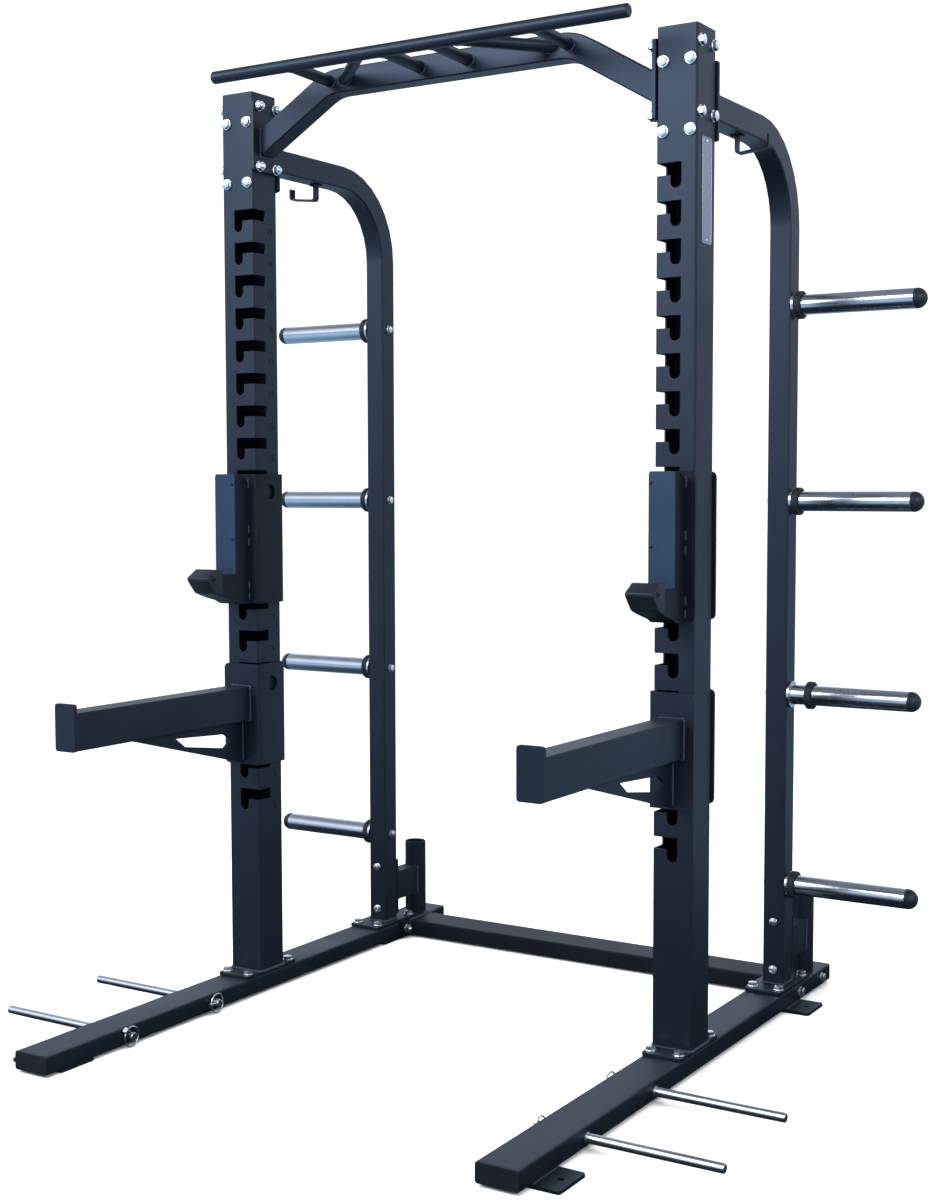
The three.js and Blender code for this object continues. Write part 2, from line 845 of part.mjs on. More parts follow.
function jCupBody() {
  const floorZ = cradleFloor - liner.thickness;
  const top = jCupBottom + jCup.height;
  const face = bracketFront - saddle.depth + liner.thickness;
  const across = around(railX, jCup.width);
  const root = bracketFront + weldBite;
  const tongue = offsetLine(hookTip, -(tipCap.wall + clearance));
  const arm = extrude(
    polygon([
      [root, jCupBottom],
      ...hookRoot,
      [capEdge + clearance, hookTip[0][1]],
      ...tongue,
      [capEdge + clearance, tongue.at(-1)[1]],
      [capEdge + clearance, floorZ],
      [root, floorZ],
    ]),
    across,
    "x",
  );
  const cheek = polygon([
    [root, floorZ - weldBite],
    [face, floorZ - weldBite],
    [face, top],
    [bracketFront - saddle.depth + saddle.chamferDepth, top],
    [bracketFront, top - saddle.chamferHeight],
    [root, top - saddle.chamferHeight],
  ]);
  const [inner, outer] = across;
  const cheeks = [
    extrude(cheek, [inner, inner + jCup.plate], "x"),
    extrude(cheek, [outer - jCup.plate, outer], "x"),
  ];
  const web = block(across, [face, face + jCup.plate], [floorZ - weldBite, top]);
  return join([slotBracket(jCupBottom, jCup.height, jCup.pinSlots), arm, ...cheeks, web]);
}

function jCupLiner() {
  const face = bracketFront - saddle.depth;
  const back = face + liner.thickness - clearance;
  const underside = cradleFloor - liner.thickness + clearance;
  const upwards = extrude(
    roundedRectangle(around(railX, jCup.width), [underside, jCupBottom + jCup.height], liner.corner),
    [face, back],
    "y",
  );
  const floor = block(around(railX, jCup.width), [capEdge + 2 * clearance, back], [underside, cradleFloor]);
  return upwards.add(floor);
}

function jCupTipCap() {
  const shell = extrude(polygon(hookTip), around(railX, jCup.width + 2 * (tipCap.sideWall + clearance)), "x");
  const cavity = offsetLine(hookTip, -tipCap.wall);
  const inside = polygon([
    [capEdge + overrun, cavity[0][1]],
    ...cavity,
    [capEdge + overrun, cavity.at(-1)[1]],
  ]);
  return cut(shell, [extrude(inside, around(railX, jCup.width + 2 * clearance), "x")]);
}

// Safety arms

function safetyArmBody() {
  const bottom = slotBottom(safety.slot) + safety.top - safety.height;
  const armTop = bottom + safety.height - safetyArm.topFromBracket;
  const armBottom = armTop - safetyArm.height;
  const armEnd = bracketFront - safetyArm.length;
  const arm = extrude(
    roundedRectangle(around(railX, safetyArm.width), [armBottom, armTop], safetyArm.corner),
    [armEnd, bracketFront + weldBite],
    "y",
  );
  const plateBottom = armBottom - stopPlate.below;
  const stop = extrude(
    roundedRectangle(
      around(railX, stopPlate.width),
      [plateBottom, plateBottom + stopPlate.height],
      stopPlate.corner,
    ),
    [armEnd - stopPlate.thickness, armEnd + weldBite],
    "y",
  );
  const body = slotBracket(bottom, safety.height, safety.pinSlots);
  return join([body, arm, stop, gussetPlate(bottom, armBottom)]);
}

function gussetPlate(bottom, armBottom) {
  const drop = armBottom - bottom - gusset.toe;
  const toe = bracketFront - gusset.length;
  const outline = polygon([
    [bracketFront + weldBite, bottom + gusset.toe],
    [bracketFront, bottom + gusset.toe],
    [toe, armBottom],
    [toe, armBottom + weldBite],
    [bracketFront + weldBite, armBottom + weldBite],
  ]);
  const opening = gussetWindowShares.map(([reach, rise]) => [
    bracketFront - reach * gusset.length,
    bottom + gusset.toe + rise * drop,
  ]);
  outline.holes.push(polygon(opening));
  return extrude(outline, around(railX, gusset.thickness), "x");
}

// The whole rack

addBase();
placePair("upright", uprightPost(), "paint");
placePair("rear_frame", rearFrame(), "paint");
placePair("accessory_hook", accessoryHook(), "paint");
place(rack, "rear_crossbar", geometryOf(rearCrossbar()), "paint");
place(rack, "pull_up_bar", geometryOf(pullUpBar()), "paint");
placePair("barbell_holder", barbellHolder(), "paint");
addWeightPegs();
addBandPegs();
placePair("j_cup", jCupBody(), "paint");
placePair("j_cup_liner", jCupLiner(), "plastic");
placePair("j_cup_tip_cap", jCupTipCap(), "plastic");
placePair("safety_arm", safetyArmBody(), "paint");

export default rack;
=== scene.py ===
# %% [markdown]
# Dressing a half rack.
# A half rack is a steel frame for barbell training. Its two slotted uprights stand on long base tubes,
# and J-cups and safety arms hook into the slots. The CAD frame already has every piece in its place.
# This lesson gives each piece the finish of the real one, and adds what CAD left out: bolts, welds,
# a bare name plate, slot numbers and the soft roundness of moulded and turned parts.

import json
import math

import bmesh
import bpy
import numpy as np
from mathutils import Matrix, Vector


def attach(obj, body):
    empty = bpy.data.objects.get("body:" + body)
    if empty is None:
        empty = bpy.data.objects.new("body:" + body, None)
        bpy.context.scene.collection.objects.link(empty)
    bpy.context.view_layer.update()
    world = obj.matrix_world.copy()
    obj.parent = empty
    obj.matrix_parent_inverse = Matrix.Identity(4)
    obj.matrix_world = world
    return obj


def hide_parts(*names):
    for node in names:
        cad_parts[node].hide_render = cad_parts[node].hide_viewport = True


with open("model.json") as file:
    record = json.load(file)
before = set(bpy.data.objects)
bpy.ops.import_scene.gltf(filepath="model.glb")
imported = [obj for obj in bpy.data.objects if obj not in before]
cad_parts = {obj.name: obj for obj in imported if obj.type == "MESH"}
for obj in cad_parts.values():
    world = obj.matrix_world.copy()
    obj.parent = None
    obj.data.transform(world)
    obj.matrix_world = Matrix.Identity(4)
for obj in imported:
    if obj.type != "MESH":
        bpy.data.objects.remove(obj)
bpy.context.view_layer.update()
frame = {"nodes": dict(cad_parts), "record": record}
nodes = frame["nodes"]
MM = 0.001
SIDES = {"right": 1, "left": -1}

# %% [markdown]
# The camera stands where the photographer stood. Its place was worked out from the straight edges of the
# rack: the eye, the way it looks, the focal length in pixels and the point where the axis meets the film.
# A lens is set in millimetres of a 36 mm sensor along the longer side, so pixels are scaled to that.

# %% Camera
PHOTO_SIZE = (931, 1200)
EYE = Vector((2.06892, -3.25645, 1.22167))
YAW, PITCH, ROLL = 0.5572, 0.0689, -0.0021
FOCAL_PIXELS = 1726.06
AXIS_PIXEL = (469.74, 604.69)


def photo_camera():
    """Looks yaw to the left of +Y and pitch down, rolled about its own axis. The shift moves the frame."""
    along = Vector((-math.sin(YAW) * math.cos(PITCH), math.cos(YAW) * math.cos(PITCH), -math.sin(PITCH)))
    level = along.cross(Vector((0, 0, 1))).normalized()
    upward = level.cross(along)
    right = math.cos(ROLL) * level + math.sin(ROLL) * upward
    up = math.cos(ROLL) * upward - math.sin(ROLL) * level
    data = bpy.data.cameras.new("photo_camera")
    camera = bpy.data.objects.new("photo_camera", data)
    camera.matrix_world = Matrix.Translation(EYE) @ Matrix((right, up, -along)).transposed().to_4x4()
    longer = max(PHOTO_SIZE)
    data.sensor_fit = "AUTO"
    data.sensor_width = 36
    data.lens = FOCAL_PIXELS / longer * data.sensor_width
    data.shift_x = (PHOTO_SIZE[0] / 2 - AXIS_PIXEL[0]) / longer
    data.shift_y = (AXIS_PIXEL[1] - PHOTO_SIZE[1] / 2) / longer
    data.clip_start, data.clip_end = 0.05, 200
    bpy.context.scene.collection.objects.link(camera)
    return camera


bpy.context.scene.camera = photo_camera()
print("lens", round(bpy.context.scene.camera.data.lens, 2), "mm")

# %% [markdown]
# Every finish here is procedural: a tree of shader nodes that works a colour, a roughness and a bump out
# of the point on the surface. Wiring such trees by hand is long, so one small class wraps a socket.
# Python's own + - * on it add the Math nodes, and one method adds any other node.


# %% Shader wires
class Wire:
    """A value in a shader tree. Arithmetic on it adds Math nodes, and node() adds any other node."""

    def __init__(self, tree, socket=None):
        self.tree, self.socket = tree, socket

    def node(self, kind, settings=None, inputs=None, output=0):
        """Adds a node, sets it up, fills or links its inputs, and gives one of its outputs."""
        made = self.tree.nodes.new("ShaderNode" + kind)
        for name, value in (settings or {}).items():
            setattr(made, name, value)
        for name, value in (inputs or {}).items():
            if isinstance(value, Wire):
                self.tree.links.new(value.socket, made.inputs[name])
            else:
                made.inputs[name].default_value = value
        return Wire(self.tree, made.outputs[output])

    def math(self, operation, first, second):
        """One Math node, on this wire's tree."""
        return self.node("Math", {"operation": operation}, {0: first, 1: second})

    def __add__(self, other):
        return self.math("ADD", self, other)

    def __sub__(self, other):
        return self.math("SUBTRACT", self, other)

    def __rsub__(self, other):
        return self.math("SUBTRACT", other, self)

    def __mul__(self, other):
        return self.math("MULTIPLY", self, other)

    __radd__, __rmul__ = __add__, __mul__

    def ramp(self, low, high):
        """0 below low, 1 above high, and a smooth rise between them."""
        bounds = {"Value": self, "From Min": low, "From Max": high}
        return self.node("MapRange", {"interpolation_type": "SMOOTHSTEP"}, bounds)

    def colours(self, none, full):
        """The colour none where the value is 0 and full where it is 1."""
        return self.node("Mix", {"data_type": "RGBA"}, {0: self, 6: none, 7: full}, 2)


def noise(place, per_metre, detail=2.0, roughness=0.5):
    """Soft random blotches, so many to a metre."""
    return place.node(
        "TexNoise",
        inputs={"Vector": place, "Scale": per_metre, "Detail": detail, "Roughness": roughness},
    )


def facing_up(place):
    """The upward part of the surface's own direction: 1 on a floor, 0 on a wall."""
    normal = place.node("NewGeometry", output="Normal")
    return place.node("SeparateXYZ", inputs={0: normal}, output="Z")


def stretched(place, scale):
    """The same coordinates squeezed by a factor along each axis, for streaks and lines."""
    return place.node("Mapping", inputs={"Vector": place, "Scale": scale})


def bump(height, metres, strength, below=None):
    """A bump whose height of 1 stands that many metres proud, laid over another one if there is one."""
    inputs = {"Height": height, "Distance": metres, "Strength": strength}
    if below is not None:
        inputs["Normal"] = below
    return height.node("Bump", inputs=inputs)


def new_finish(name):
    """An empty material and a wire with the Object coordinates, which stick to the piece."""
    material = bpy.data.materials.new(name)
    material.use_nodes = True
    material.node_tree.nodes.clear()
    return material, Wire(material.node_tree).node("TexCoord", output="Object")


def close_finish(material, place, inputs):
    """Ends the tree with the Principled shader, whose inputs are given by name."""
    shader = place.node("BsdfPrincipled", inputs=inputs)
    output = material.node_tree.nodes.new("ShaderNodeOutputMaterial")
    material.node_tree.links.new(shader.socket, output.inputs["Surface"])
    return material


def grey(value, red=1.0, blue=1.0):
    """A linear colour of that lightness, leaning to red or blue."""
    return (value * red, value, value * blue, 1.0)


# %% [markdown]
# The steel is powder coated: plastic powder is sprayed on and melted in an oven. The film is a dark
# slate colour with a satin shine and the faint dimples that painters call orange peel. Handling leaves
# hairline scuffs, and what faces up is painted lighter: partly a little dust, partly light from above.
# A flat colour would look like bare plastic, so the dimples go into the bump, the scuffs and the lighter
# top into colour and roughness. The weld beads get a shinier coat whose lighter colour paints in their
# highlight, and the J-cups and the crossbar a duller copy of the coat that paints in their shade.

# %% Powder coat
def powder_coat(name, tone, sheen, tint=(0.64, 0.76, 1.0), gloss=0.4):
    """Orange peel, hairline scuffs where the field of wear is high, and what faces up painted lighter,
    partly as dust and partly as painted light from above. The tone is a lightness and its lean to red
    and blue, and the tint colours the shine."""
    shade, red, blue = tone
    material, place = new_finish(name)
    peel = noise(place, 700, 2.5, 0.55)
    wave = noise(place, 55, 2.0)
    blotch = noise(place, 4.5, 3.0)
    scuffs = noise(stretched(place, (40, 40, 3)), 14, 6.0, 0.62).ramp(0.63, 0.7)
    worn_field = noise(place, 18, 4.0).ramp(0.45, 0.7)
    # What faces up is painted lighter and bluer: partly dust, partly painted light from above.
    dust_and_top_light = facing_up(place).ramp(0.75, 1.0) * blotch.ramp(0.35, 0.75)
    darker, lighter = grey(shade * 0.8, red, blue), grey(shade * 1.2, red * 1.1, blue * 0.9)
    body = blotch.ramp(0.3, 0.7).colours(darker, lighter)
    scuffed = (scuffs * worn_field * 0.35).colours(body, grey(shade * 2.4, 0.8, 1.25))
    colour = (dust_and_top_light * 0.22).colours(scuffed, grey(0.06, 0.9, 1.15))
    rough = blotch * 0.08 + peel * 0.05 + scuffs * worn_field * 0.12 + dust_and_top_light * 0.12 + sheen
    relief = bump(peel, 0.00012, 0.45, bump(wave, 0.0004, 0.3))
    film = {"IOR": 1.5, "Specular IOR Level": gloss, "Specular Tint": (*tint, 1.0)}
    return close_finish(
        material, place, {"Base Color": colour, "Roughness": rough, "Normal": relief, **film}
    )


paint = powder_coat("slate_powder_coat", (0.0045, 0.5, 2.0), 0.38)
# The beads' coat is shinier, and its much lighter colour paints in the highlight a bead catches.
bead_coat_painted_highlight = powder_coat("weld_coat_with_painted_highlight", (0.026, 0.75, 1.7), 0.22)
# A duller, less shiny copy of the coat with a purple lean, which paints in shade on the J-cups and crossbar.
duller_coat_painted_shade = powder_coat("slate_coat_painted_shade", (0.0045, 0.7, 1.7), 0.42, (0.56, 0.56, 0.74), 0.26)
print("powder coats:", paint.name, duller_coat_painted_shade.name, "and", bead_coat_painted_highlight.name)

# %% [markdown]
# Pegs are chrome plated: a mirror with faint rings from turning and hairlines where plates slid over it.
# The band pegs have the same plating with less polish. Bolts, nuts and pins are zinc plated, which is a
# duller, slightly blue grey with a cloudy grain. Both are metals, so colour sets the reflection, and most of
# the story is told by the roughness.


# %% Bright metals
def chrome_plate(name, polish):
    """Turning rings and hairlines, both in the roughness and, very finely, in the bump."""
    material, place = new_finish(name)
    cloud = noise(place, 12, 3.0)
    rings = noise(stretched(place, (1, 0.02, 0.02)), 2600, 2.0)
    hairs = noise(stretched(place, (0.03, 1, 1)), 900, 3.0, 0.6).ramp(0.58, 0.72)
    colour = cloud.colours(grey(0.58, 0.96, 1.07), grey(0.68, 0.97, 1.05))
    rough = cloud * 0.05 + hairs * 0.12 + rings * 0.04 + polish
    relief = bump(rings, 0.00002, 0.2, bump(hairs, 0.00001, 0.15))
    return close_finish(
        material, place, {"Base Color": colour, "Roughness": rough, "Metallic": 1.0, "Normal": relief}
    )


def zinc_plate():
    """Crystals a few millimetres across in the roughness and bump, and clouds in the colour."""
    material, place = new_finish("zinc_plate")
    grain = noise(place, 420, 4.0, 0.6)
    cloud = noise(place, 60, 3.0)
    colour = cloud.ramp(0.3, 0.7).colours(grey(0.72, 0.95, 1.03), grey(0.94, 0.97, 1.0))
    rough = grain * 0.16 + cloud * 0.12 + 0.14
    relief = bump(grain, 0.00006, 0.4)
    return close_finish(
        material, place, {"Base Color": colour, "Roughness": rough, "Metallic": 1.0, "Normal": relief}
    )


chrome, satin_chrome = chrome_plate("chrome_plate", 0.14), chrome_plate("satin_chrome", 0.24)
zinc = zinc_plate()
print("bright metals:", chrome.name, satin_chrome.name, zinc.name)

# %% [markdown]
# The caps are injection moulded in black plastic with a fine leather-like grain, the liners of the J-cups
# are a tough grey plastic that a bar marks, and the rings on the pegs are dull black rubber.
# All three are the same recipe with other numbers: a grain for the bump, and blotches for the sheen.


# %% Plastics and rubber
def moulded(name, tone, tint, sheen, grain_per_metre, relief_metres, rub):
    """A fine grain for the bump, soft blotches in the tone, and pale rub marks where it is handled."""
    shade, red, blue = tone
    material, place = new_finish(name)
    grain = noise(place, grain_per_metre, 3.0, 0.6)
    blotch = noise(place, 9, 2.0)
    marks = noise(stretched(place, (1, 5, 1)), 45, 5.0, 0.65).ramp(0.6, 0.75)
    body = blotch.ramp(0.25, 0.75).colours(grey(shade * 0.85, red, blue), grey(shade * 1.15, red, blue))
    colour = (marks * rub).colours(body, grey(shade * 2.5 + 0.01, red, blue))
    rough = grain * 0.12 + blotch * 0.08 + marks * 0.1 + sheen
    relief = bump(grain, relief_metres, 0.5)
    return close_finish(
        material,
        place,
        {"Base Color": colour, "Roughness": rough, "Normal": relief, "Specular Tint": (*tint, 1.0)},
    )


black_plastic = moulded("cap_plastic", (0.006, 0.8, 1.5), (0.55, 0.62, 0.75), 0.34, 1100, 0.0001, 0.12)
grey_plastic = moulded("liner_plastic", (0.015, 0.5, 2.1), (0.5, 0.7, 1.0), 0.36, 900, 0.00008, 0.15)
rubber = moulded("ring_rubber", (0.005, 0.9, 1.3), (0.6, 0.66, 0.78), 0.55, 650, 0.0002, 0.15)
print("moulded:", black_plastic.name, grey_plastic.name, rubber.name)

# %% [markdown]
# Three small finishes are left. The name plate is aluminium brushed along its length, the screws of the
# J-cups are black oxide steel, and the slot numbers are a matt dark ink.


# %% Plate, screws and ink
def brushed_aluminium():
    """Long thin noise along Z, which is the way that the plate was brushed."""
    material, place = new_finish("brushed_aluminium")
    brush = noise(stretched(place, (1, 1, 0.01)), 2200, 3.0, 0.6)
    cloud = noise(place, 30, 3.0)
    colour = brush.colours(grey(0.22, 0.9, 1.22), grey(0.36, 0.92, 1.18))
    rough = brush * 0.2 + cloud * 0.12 + 0.2
    relief = bump(brush, 0.00003, 0.4)
    return close_finish(
        material, place, {"Base Color": colour, "Roughness": rough, "Metallic": 1.0, "Normal": relief}
    )


def black_oxide():
    """Nearly black, with clouds where the oil has dried."""
    material, place = new_finish("black_oxide")
    cloud = noise(place, 300, 3.0)
    colour = cloud.colours(grey(0.004), grey(0.014, 0.9, 1.3))
    rough = cloud * 0.2 + 0.3
    return close_finish(material, place, {"Base Color": colour, "Roughness": rough, "Metallic": 0.6})


def matt_ink():
    """A patchy print that hardly shines."""
    material, place = new_finish("slot_ink")
    patchy = noise(place, 700, 3.0)
    colour = patchy.ramp(0.3, 0.75).colours(grey(0.0018), grey(0.006, 0.8, 1.3))
    return close_finish(
        material, place, {"Base Color": colour, "Roughness": patchy * 0.2 + 0.7, "Specular IOR Level": 0.08}
    )


aluminium, dark_steel, ink = brushed_aluminium(), black_oxide(), matt_ink()
print("small finishes:", aluminium.name, dark_steel.name, ink.name)

# %% [markdown]
# Every CAD node keeps its shape and takes the finish of its material slot, or its own: a less polished
# chrome on the band pegs, and on the J-cups and the crossbar a duller copy of the coat that paints in
# their shade. Its mesh is loose triangles with hard edges, and no sheet or tube is that sharp. So
# modifiers weld the triangles, dissolve the flat ones into whole faces, round each edge by a hair and
# weigh the shading by face size.

# %% Finishes on the CAD nodes
FINISHES = {
    "paint": paint,
    "chrome": chrome,
    "zinc": zinc,
    "black_plastic": black_plastic,
    "grey_plastic": grey_plastic,
    "rubber": rubber,
}
# The J-cups and the crossbar take the duller copy of the coat, which paints in their shade.
OWN_FINISHES = {
    "rear_crossbar": duller_coat_painted_shade,
    **{f"j_cup_{side}": duller_coat_painted_shade for side in SIDES},
    **{f"band_peg_{station}_{side}": satin_chrome for station in ("front", "rear") for side in SIDES},
}
EDGE_ROUND = {
    "paint": 0.8,
    "black_plastic": 1.6,
    "grey_plastic": 1.6,
    "chrome": 0.3,
    "zinc": 0.2,
    "rubber": 0.5,
}


def soften(obj, round_mm):
    """Welds, flattens, rounds the edges by that many millimetres and smooths the shading."""
    obj.modifiers.new("weld", "WELD").merge_threshold = 0.00002
    flat = obj.modifiers.new("flat", "DECIMATE")
    flat.decimate_type, flat.angle_limit = "DISSOLVE", math.radians(1)
    edge = obj.modifiers.new("edge", "BEVEL")
    edge.width, edge.segments, edge.limit_method = round_mm * MM, 2, "ANGLE"
    edge.angle_limit, edge.miter_outer = math.radians(35), "MITER_ARC"
    obj.modifiers.new("shading", "WEIGHTED_NORMAL").keep_sharp = True
    obj.data.polygons.foreach_set("use_smooth", [True] * len(obj.data.polygons))


for entry in frame["record"]["subparts"]:
    node, slot = nodes[entry["node"]], entry["material_slot"]
    node.data.materials.clear()
    node.data.materials.append(OWN_FINISHES.get(entry["node"], FINISHES[slot]))
    soften(node, EDGE_ROUND[slot])
print("finishes on", len(nodes), "nodes")

# %% [markdown]
# What CAD left out is added now. Bolts, beads and turned parts could be built with Blender's own tools,
# but each of them is one line carried round an axis or along a path. So their points are worked out as
# whole arrays. A grid of points whose columns close into a ring gives every round piece its faces.


# %% Surfaces from arrays
def ring_faces(rows, columns, joined=False):
    """Four corners for each face between neighbouring points; joined ends make a closed loop of rows."""
    row, column = np.meshgrid(np.arange(rows if joined else rows - 1), np.arange(columns), indexing="ij")
    after, beside = (row + 1) % rows, (column + 1) % columns
    corners = (row, column), (row, beside), (after, beside), (after, column)
    return np.stack([r * columns + c for r, c in corners], -1).reshape(-1, 4)


def axes_along(direction):
    """Three unit vectors at right angles, of which the last is the direction."""
    along = np.array(direction, float) / np.linalg.norm(direction)
    aside = np.cross((1.0, 0.0, 0.0) if abs(along[2]) > 0.9 else (0.0, 0.0, 1.0), along)
    aside /= np.linalg.norm(aside)
    return np.stack([aside, np.cross(along, aside), along])


def turned(radii, heights, place, direction, sides):
    """A lathe: place + radius times (cos turn, sin turn) across the axis + height along it, in mm."""
    turns = np.linspace(0, 2 * np.pi, sides, endpoint=False)
    rows = len(radii)
    radii = np.asarray(radii, float).reshape(rows, -1) + np.zeros(sides)
    heights = np.asarray(heights, float).reshape(rows, -1) + np.zeros(sides)
    local = np.stack([radii * np.cos(turns), radii * np.sin(turns), heights], -1)
    points = np.array(place, float) + local @ axes_along(direction)
    return points.reshape(-1, 3) * MM, ring_faces(rows, sides).tolist()


def rounded(corners, reach, steps=5):
    """A profile whose inner corners become curves: (1-s)^2 start + 2s(1-s) corner + s^2 end."""
    corners = np.array(corners, float)
    share = np.linspace(0, 1, steps + 1)[:, None]
    line = [corners[:1]]
    for before, corner, after in zip(corners[:-2], corners[1:-1], corners[2:]):
        sides = [before - corner, after - corner]
        start, end = (corner + side * min(0.45, reach / np.linalg.norm(side)) for side in sides)
        line.append((1 - share) ** 2 * start + 2 * share * (1 - share) * corner + share**2 * end)
    return np.concatenate([*line, corners[-1:]]).T


POLE_GAP = 0.000002


def add_piece(name, shells, finish, body="frame", stands_for=(), crease=32):
    """Joins shells of points and faces into one mesh, closes its poles, and hands it to the frame."""
    starts = np.cumsum([0] + [len(points) for points, _ in shells]).tolist()
    faces = [
        [corner + start for corner in face] for (_, some), start in zip(shells, starts) for face in some
    ]
    mesh = bpy.data.meshes.new(name)
    mesh.from_pydata(np.concatenate([points for points, _ in shells]).tolist(), [], faces)
    work = bmesh.new()
    work.from_mesh(mesh)
    bmesh.ops.remove_doubles(work, verts=work.verts, dist=POLE_GAP)
    work.to_mesh(mesh)
    work.free()
    mesh.polygons.foreach_set("use_smooth", [True] * len(mesh.polygons))
    mesh.set_sharp_from_angle(angle=math.radians(crease))
    mesh.materials.append(finish)
    obj = bpy.data.objects.new(name, mesh)
    bpy.context.scene.collection.objects.link(obj)
    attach(obj, body)
    if stands_for:
        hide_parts(*stands_for)
    return obj


# %% [markdown]
# These are the places of the rack, in millimetres, as the drawing has them. X is given for the right side
# and is mirrored for the left, and every later step takes its places from here.

# %% Places on the rack
RAIL_X, UPRIGHT_HALF, POST_HALF = 565, 45, 26
UPRIGHT_Y, POST_Y = -11, 527
PLATE_TOP, UPRIGHT_TOP, BASE_MIDDLE = 54.3, 2138.3, 26
POST_OUTER, POST_INNER = RAIL_X + POST_HALF, RAIL_X - POST_HALF
GAP, FLANGE_THICK = 0.3, 8
OUTER_FACE, INNER_FACE, FRONT_FACE = RAIL_X + UPRIGHT_HALF, RAIL_X - UPRIGHT_HALF, UPRIGHT_Y - UPRIGHT_HALF
FLANGE_BACK = INNER_FACE - GAP - FLANGE_THICK
REAR_FLANGE_BACK = UPRIGHT_Y + UPRIGHT_HALF + GAP + FLANGE_THICK
PEG_ROWS = {row + 1: 288 + 448 * row for row in range(4)}
SLOT_PITCH, TOP_SLOT = 76.2, 1817.3
print("weight pegs at", list(PEG_ROWS.values()), "mm")

# %% [markdown]
# The weight pegs are thick steel tube, turned, polished and chromed, with a flange against the post. A
# domed plastic cap is pushed into the open end, and a rubber ring keeps plates off the flange. CAD drew
# them with sixteen sides. Here each profile goes round in ninety-six, with its corners eased, and takes
# the place of the faceted one.


# %% Weight pegs, caps and rings
PEG, PEG_BORE, PEG_LENGTH, BORE_DEPTH = 23, 19.5, 281, 26
COLLAR, COLLAR_THICK = 31, 6
PLUG, PLUG_LENGTH, RIM, DOME = 19.2, 20, 4, 22
RUBBER_BORE, RUBBER, RUBBER_WIDTH = 23.5, 32, 15
STRAY_RING, STRAY = ("right", 2), 36


def peg_profile():
    """Across the flange, along the tube, and back down its open bore."""
    end, floor = PEG_LENGTH, PEG_LENGTH - BORE_DEPTH
    flange = [(0, 0), (COLLAR, 0), (COLLAR, COLLAR_THICK), (PEG, COLLAR_THICK)]
    return rounded([*flange, (PEG, end), (PEG_BORE, end), (PEG_BORE, floor), (0, floor)], 0.9)


def cap_profile():
    """A plug, a rim, and a dome whose radius is peg cos t and whose height is rim + dome sin t."""
    swing = np.linspace(0, np.pi / 2, 18)[1:]
    plug = rounded([(0, -PLUG_LENGTH), (PLUG, -PLUG_LENGTH), (PLUG, 0), (PEG, 0), (PEG, RIM)], 0.8)
    return np.concatenate([plug, np.stack([PEG * np.cos(swing), RIM + DOME * np.sin(swing)])], 1)


def ring_profile():
    """Once round the rubber: bore, side, tread and side, closing where it began."""
    start = (RUBBER_BORE, RUBBER_WIDTH / 2)
    sides = [(RUBBER_BORE, 0), (RUBBER, 0), (RUBBER, RUBBER_WIDTH), (RUBBER_BORE, RUBBER_WIDTH)]
    return rounded([start, *sides, start], 3)


for side, way in SIDES.items():
    for row, height in PEG_ROWS.items():
        root = POST_OUTER + GAP
        ring_at = COLLAR_THICK + GAP + (STRAY if (side, row) == STRAY_RING else 0)
        for kind, profile, reach, finish, slot, body in (
            ("weight_peg", peg_profile(), 0, chrome, "chrome", "frame"),
            ("peg_cap", cap_profile(), PEG_LENGTH + GAP, black_plastic, "black_plastic", "frame"),
            ("peg_ring", ring_profile(), ring_at, rubber, "rubber", f"peg_ring_{row}_{side}"),
        ):
            name = f"{kind}_{row}_{side}"
            shell = turned(*profile, (way * (root + reach), POST_Y, height), (way, 0, 0), 96)
            add_piece("turned_" + name, [shell], finish, body, [name])
print("turned pegs, caps and rings:", 3 * len(SIDES) * len(PEG_ROWS))

# %% [markdown]
# A linch pin is held by a spring ring, one length of zinc plated wire bent round and hinged in the pin's
# head. A round section is carried along the arc. The same carrying function serves the welds later on.


# %% Wire and beads along a path
def carried(path, radii, across, joined=False, sides=12):
    """Path point + radius times (cos turn across + sin turn (along x across)), all in mm."""
    path, across = np.array(path, float), np.array(across, float) + np.zeros((len(path), 3))
    along = np.roll(path, -1, 0) - np.roll(path, 1, 0) if joined else np.gradient(path, axis=0)
    along /= np.linalg.norm(along, axis=1)[:, None]
    across -= along * np.sum(across * along, axis=1)[:, None]
    across /= np.linalg.norm(across, axis=1)[:, None]
    turns = np.linspace(0, 2 * np.pi, sides, endpoint=False)[None, :, None]
    spokes = np.cos(turns) * across[:, None] + np.sin(turns) * np.cross(along, across)[:, None]
    points = path[:, None] + np.asarray(radii, float)[:, None, None] * spokes
    return points.reshape(-1, 3) * MM, ring_faces(len(path), sides, joined).tolist()


LINCH_X, LINCH_Z, RING_RADIUS, WIRE, HEAD_REACH = 512, 24.5, 21, 3.5, 5.8
LINCH_PEGS = {"front": (-513, math.pi / 4), "rear": (-227, math.pi / 2)}


def spring_ring(way, middle_y, head_turn):
    """A circle of the ring's radius round the peg, open at the pin's head. Its ends close to a point."""
    gap = math.asin(HEAD_REACH / (RING_RADIUS - WIRE / 2))
    turn = np.linspace(math.pi / 2 + head_turn + gap, 2.5 * math.pi + head_turn - gap, 90)
    out = np.stack([0 * turn, np.cos(turn), np.sin(turn)], -1)
    path = np.array([way * LINCH_X, middle_y, LINCH_Z]) + RING_RADIUS * out
    radii = np.full(len(turn), WIRE / 2)
    path, out = (np.concatenate([line[:1], line, line[-1:]]) for line in (path, out))
    path[0] += (path[0] - path[2]) * 0.001
    path[-1] += (path[-1] - path[-3]) * 0.001
    return carried(path, [0, *radii, 0], out)


